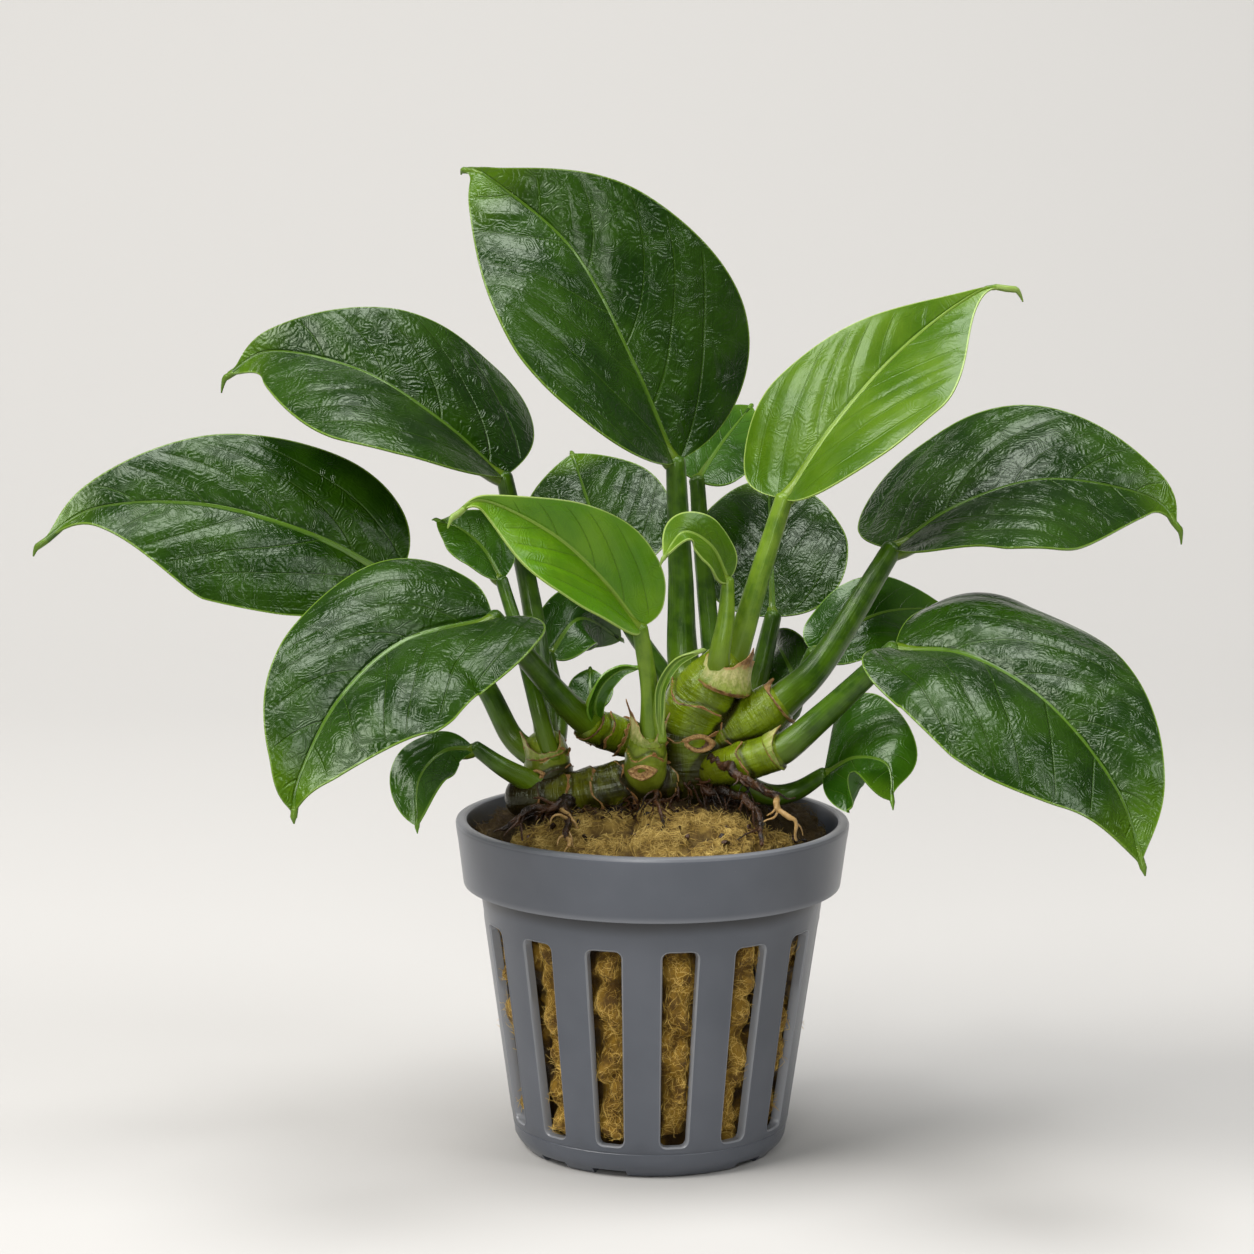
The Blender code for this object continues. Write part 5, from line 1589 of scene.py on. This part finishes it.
def woolSkin():
    wool = woolShape
    points = smoothCurve([(r, 0, z) for r, z in woolOutline()], wool["outlineSteps"])
    bm = bmesh.new()
    depth = bm.verts.layers.float.new("depth")
    verts, edges = drawLine(bm, [(max(p.x, 0) * mm, 0, p.z * mm) for p in points])
    bmesh.ops.spin(bm, geom=verts + edges, cent=(0, 0, 0), axis=(0, 0, 1), angle=math.tau,
                   steps=wool["segments"], use_merge=True, use_duplicate=False)
    bmesh.ops.remove_doubles(bm, verts=bm.verts[:], dist=0.01 * mm)
    bmesh.ops.recalc_face_normals(bm, faces=bm.faces[:])
    bm.normal_update()
    for vert in bm.verts:
        place = vert.co / mm
        near = noise.voronoi(place / wool["lumpSize"] + noise.noise_vector(place * 0.22) * 0.35)[0]
        lump = near[0] ** 2 * 1.5
        fold = 1 - abs(noise.noise(place / 2.1 + Vector((9, 3, 1)))) * 2
        tuft = noise.noise(Vector((place.x * 1.6, place.y * 1.6, place.z * 0.9)))
        flat = smoothStep(40.0, 42.5, place.z)
        sink = 0.35 - wool["lump"] * lump * (1 - 0.50 * flat) - 0.30 * (1 - fold)
        sink += (0.60 * fold + 0.45 * tuft + 0.10) * flat
        sink = max(min(sink, 0.15 + 1.25 * flat), -1.5)
        # it swells into the slots
        if wool["swellBottom"] < place.z < wool["swellTop"]:
            sink += wool["swell"] * smoothStep(2.0, 0.9, slotOffset(place))
        vert.co += vert.normal * (sink * mm)
        vert[depth] = sink
    return bm


def strandPiece(name, lines, thickness, roundness, material):
    # thin strands through the listed points, one curve object made into a mesh
    strands = bpy.data.curves.new(name, "CURVE")
    strands.dimensions = "3D"
    strands.bevel_depth = thickness * mm
    strands.bevel_resolution = roundness
    strands.use_fill_caps = True
    for line in lines:
        spline = strands.splines.new("POLY")
        spline.points.add(len(line) - 1)
        for knot, (place, radius) in zip(spline.points, line):
            knot.co = (*place, 1.0)
            knot.radius = radius
    holder = addObject(name + " strands", strands)
    mesh = finalMesh(holder)
    bpy.data.objects.remove(holder, do_unlink=True)
    mesh.name = name
    mesh.shade_smooth()
    mesh.materials.clear()
    placePiece(name, mesh, [], [material])


def woolFibres(name, tree, starts, seed, thickness, material):
    # short curled fibres that lie matted on the lumps
    wool = woolShape
    dice = random.Random(seed)
    lines = []
    for start in starts:
        point = start.copy()
        flow = noise.noise_vector(point / mm * 0.45) * 0.8 + noise.noise_vector(point / mm * 1.3) * 0.6
        flow += Vector([dice.uniform(-0.5, 0.5) for axis in range(3)])
        steps = dice.randint(4, 6)
        stride = dice.uniform(*wool["stride"]) * mm
        loose = dice.random() < wool["looseShare"]
        line = []
        for i in range(steps):
            near, normal = tree.find_nearest(point)[:2]
            lift = (0.02 + 0.10 * dice.random() + (0.20 * i if loose else 0.04 * math.sin(i * 1.3))) * mm
            thick = dice.uniform(0.6, 1.0) * (0.45 if i in (0, steps - 1) else 1.0)
            line.append((near + normal * lift, thick))
            flow += Vector([dice.uniform(-0.45, 0.45) for axis in range(3)])
            along = (flow - normal * flow.dot(normal)).normalized()
            point = near + along * stride
        lines.append(line)
    strandPiece(name, lines, thickness, 0, material)


def scatter(bm, count, seed, wanted):
    # seeded places on the faces that are wanted
    dice = random.Random(seed)
    depth = bm.verts.layers.float["depth"]
    faces = [face for face in bm.faces if wanted(face.calc_center_median() / mm)
             and min(vert[depth] for vert in face.verts) > woolShape["hollow"]]
    # the operators list the faces in another order each run
    bm.verts.index_update()
    faces.sort(key=lambda face: sorted(vert.index for vert in face.verts))
    areas = [face.calc_area() for face in faces]
    places = []
    for face in dice.choices(faces, weights=areas, k=count):
        corners = [vert.co for vert in sorted(face.verts, key=lambda vert: vert.index)]
        shares = [dice.random() for corner in corners]
        total = sum(shares)
        places.append(sum((corner * (share / total) for corner, share in zip(corners, shares)), Vector()))
    return places


def nearSlot(place):
    # inside the pot beside a slot, where the wool shows through
    pot = potShape
    if not pot["slotBottom"] - 1 < place.z < pot["slotTop"] + 1 or math.hypot(place.x, place.y) < 12:
        return False
    return slotOffset(place) < 3.2


def addWool(coreMaterial, topFibre, slotFibre):
    wool = woolShape
    bm = woolSkin()
    tree = BVHTree.FromBMesh(bm)
    topStarts = scatter(bm, wool["topFibres"], 5, lambda p: p.z > 40.0)
    slotStarts = scatter(bm, wool["slotFibres"], 6, nearSlot)
    finishPiece(bm, "rock_wool_core", ["rock_wool"], [coreMaterial], 180.0)
    woolFibres("rock_wool_top_fibres", tree, topStarts, 7, wool["topThickness"], topFibre)
    woolFibres("rock_wool_slot_fibres", tree, slotStarts, 8, wool["slotThickness"], slotFibre)
    return tree


def woolMaterial(name, pale, deep, wetPale, wetDeep, bump):
    # fuzzy straw colour on top with painted shade under the rhizome and in the hollows between lumps; wet
    # amber behind the slots
    material, tree, shader = newMaterial(name, {"Specular IOR Level": 0.35})
    place = objectPlace(tree)
    y, z = parts(tree, place)[1:]
    tone = noisy(tree, place, 0.50, 3.0, 0.6)
    strand = noisy(tree, place, 6.0, 3.0, 0.6, 1.2)
    top = rise(tree, z, 38.5, 41.0)
    light = blend(tree, top, wetPale, pale)
    shade = blend(tree, top, wetDeep, deep)
    colour = blend(tree, rise(tree, tone, 0.36, 0.62), light, shade)
    colour = blend(tree, times(tree, rise(tree, strand, 0.5, 0.7), 0.40), colour, light)
    # painted shade on the top where the rhizome hangs over it
    back = scaled(tree, tone, 7.0, y)
    under = minus(tree, rise(tree, back, -8.0, -4.5), rise(tree, back, 9.0, 15.0))
    rhizomeShade = times(tree, times(tree, under, top), 0.90)
    colour = blend(tree, rhizomeShade, colour, (0.030, 0.016, 0.005))
    # painted shade in the hollows between the lumps
    hollowShade = rise(tree, times(tree, attribute(tree, "depth"), -1.0), 0.55, 1.6)
    colour = blend(tree, times(tree, hollowShade, 0.9), colour, (0.030, 0.014, 0.003))
    dress(tree, shader, colour, scaled(tree, tone, 0.25, scaled(tree, top, 0.30, 0.22)), strand, bump)
    return material


# Floor

def addFloor():
    # a pale sweep: flat floor that curves up far behind
    half, bend = studio["floorSize"] / 2, studio["bendRadius"]
    back = studio["floorBack"]
    outline = [(-half, 0.0), (0.0, 0.0), (back, 0.0)]
    for step in range(1, 13):
        angle = step / 12 * math.pi / 2
        outline.append((back + bend * math.sin(angle), bend * (1 - math.cos(angle))))
    outline.append((back + bend, studio["wallHeight"]))
    bm = bmesh.new()
    edges = drawLine(bm, [(-half, y, z) for y, z in outline])[1]
    grown = bmesh.ops.extrude_edge_only(bm, edges=edges)["geom"]
    bmesh.ops.translate(bm, verts=only(BMVert, grown), vec=(2 * half, 0, 0))
    mesh = meshFrom(bm, "floor")
    mesh.shade_smooth()
    material, tree, shader = newMaterial("pale floor", {"Roughness": 0.75})
    tone = noisy(tree, addNode(tree, "TexCoord").outputs["Object"], 3.0, 2.0)
    dim = tuple(part * 0.97 for part in studio["floorColour"])
    feed(tree, shader, "Base Color", blend(tree, tone, studio["floorColour"], dim))
    mesh.materials.append(material)
    floor = addObject("floor", mesh)


def main():
    addCamera()
    addLights()
    addFloor()
    print("studio ready")

    leafMaterials = {kind: leafMaterial(kind + " leaf", look) for kind, look in leafFinishes.items()}
    stems = {kind: stemMaterial(kind + " skin", look) for kind, look in stemFinishes.items()}
    rootSkin = drySkinMaterial("root skin", (0.060, 0.024, 0.008), (0.009, 0.005, 0.003),
                               (0.40, 0.25, 0.09), 0.28)
    papery = drySkinMaterial("torn collar", (0.30, 0.150, 0.050), (0.060, 0.020, 0.006),
                             (0.30, 0.150, 0.050), 0.45)

    for name, stalk in stalks.items():
        leaf = leaves[stalk["leaf"]]
        skin = stems["youngStalk" if stalk.get("young") else "stalk"]
        addStalk(name, stalk, skin)
        blade = leafMaterials[leaf.get("finish", leafDefaults["finish"])]
        addLeaf(stalk["leaf"], leaf, stalk["radii"][-1], [blade, skin])
    print("leaves and stalks done")

    for name, stem in rhizomes.items():
        addRhizome(name, stem, stems[stem["finish"]], papery)
    for name, root in roots.items():
        addRoot(name, root, rootSkin)
    for name, leaf in newLeaves.items():
        addLeaf(name, leaf, 0.7, [leafMaterials[leaf["finish"]], stems["youngStalk"]])
    corky = scarMaterial()
    for name, scar in scars.items():
        addScar(name, scar, corky)
    sheathSkin = sheathMaterial()
    for name, cup in sheathCups.items():
        addSheathCup(name, cup, sheathSkin)
    print("rhizome, roots, sheaths and new leaves done")

    addPot(potMaterial())
    print("pot done")

    core = woolMaterial("rock wool core", (0.34, 0.225, 0.045), (0.125, 0.070, 0.011),
                        (0.360, 0.205, 0.022), (0.105, 0.052, 0.005), 0.30)
    topFibre = woolMaterial("rock wool fibre", (0.58, 0.42, 0.125), (0.34, 0.22, 0.043),
                            (0.58, 0.42, 0.125), (0.34, 0.22, 0.043), 0.04)
    slotFibre = woolMaterial("wet rock wool fibre", (0.58, 0.42, 0.125), (0.34, 0.22, 0.043),
                             (0.85, 0.60, 0.160), (0.46, 0.28, 0.045), 0.04)
    tree = addWool(core, topFibre, slotFibre)
    addRootlets(tree, rootSkin)
    addCrumbs(tree, rootSkin)
    print("rock wool, rootlets and crumbs done")


main()
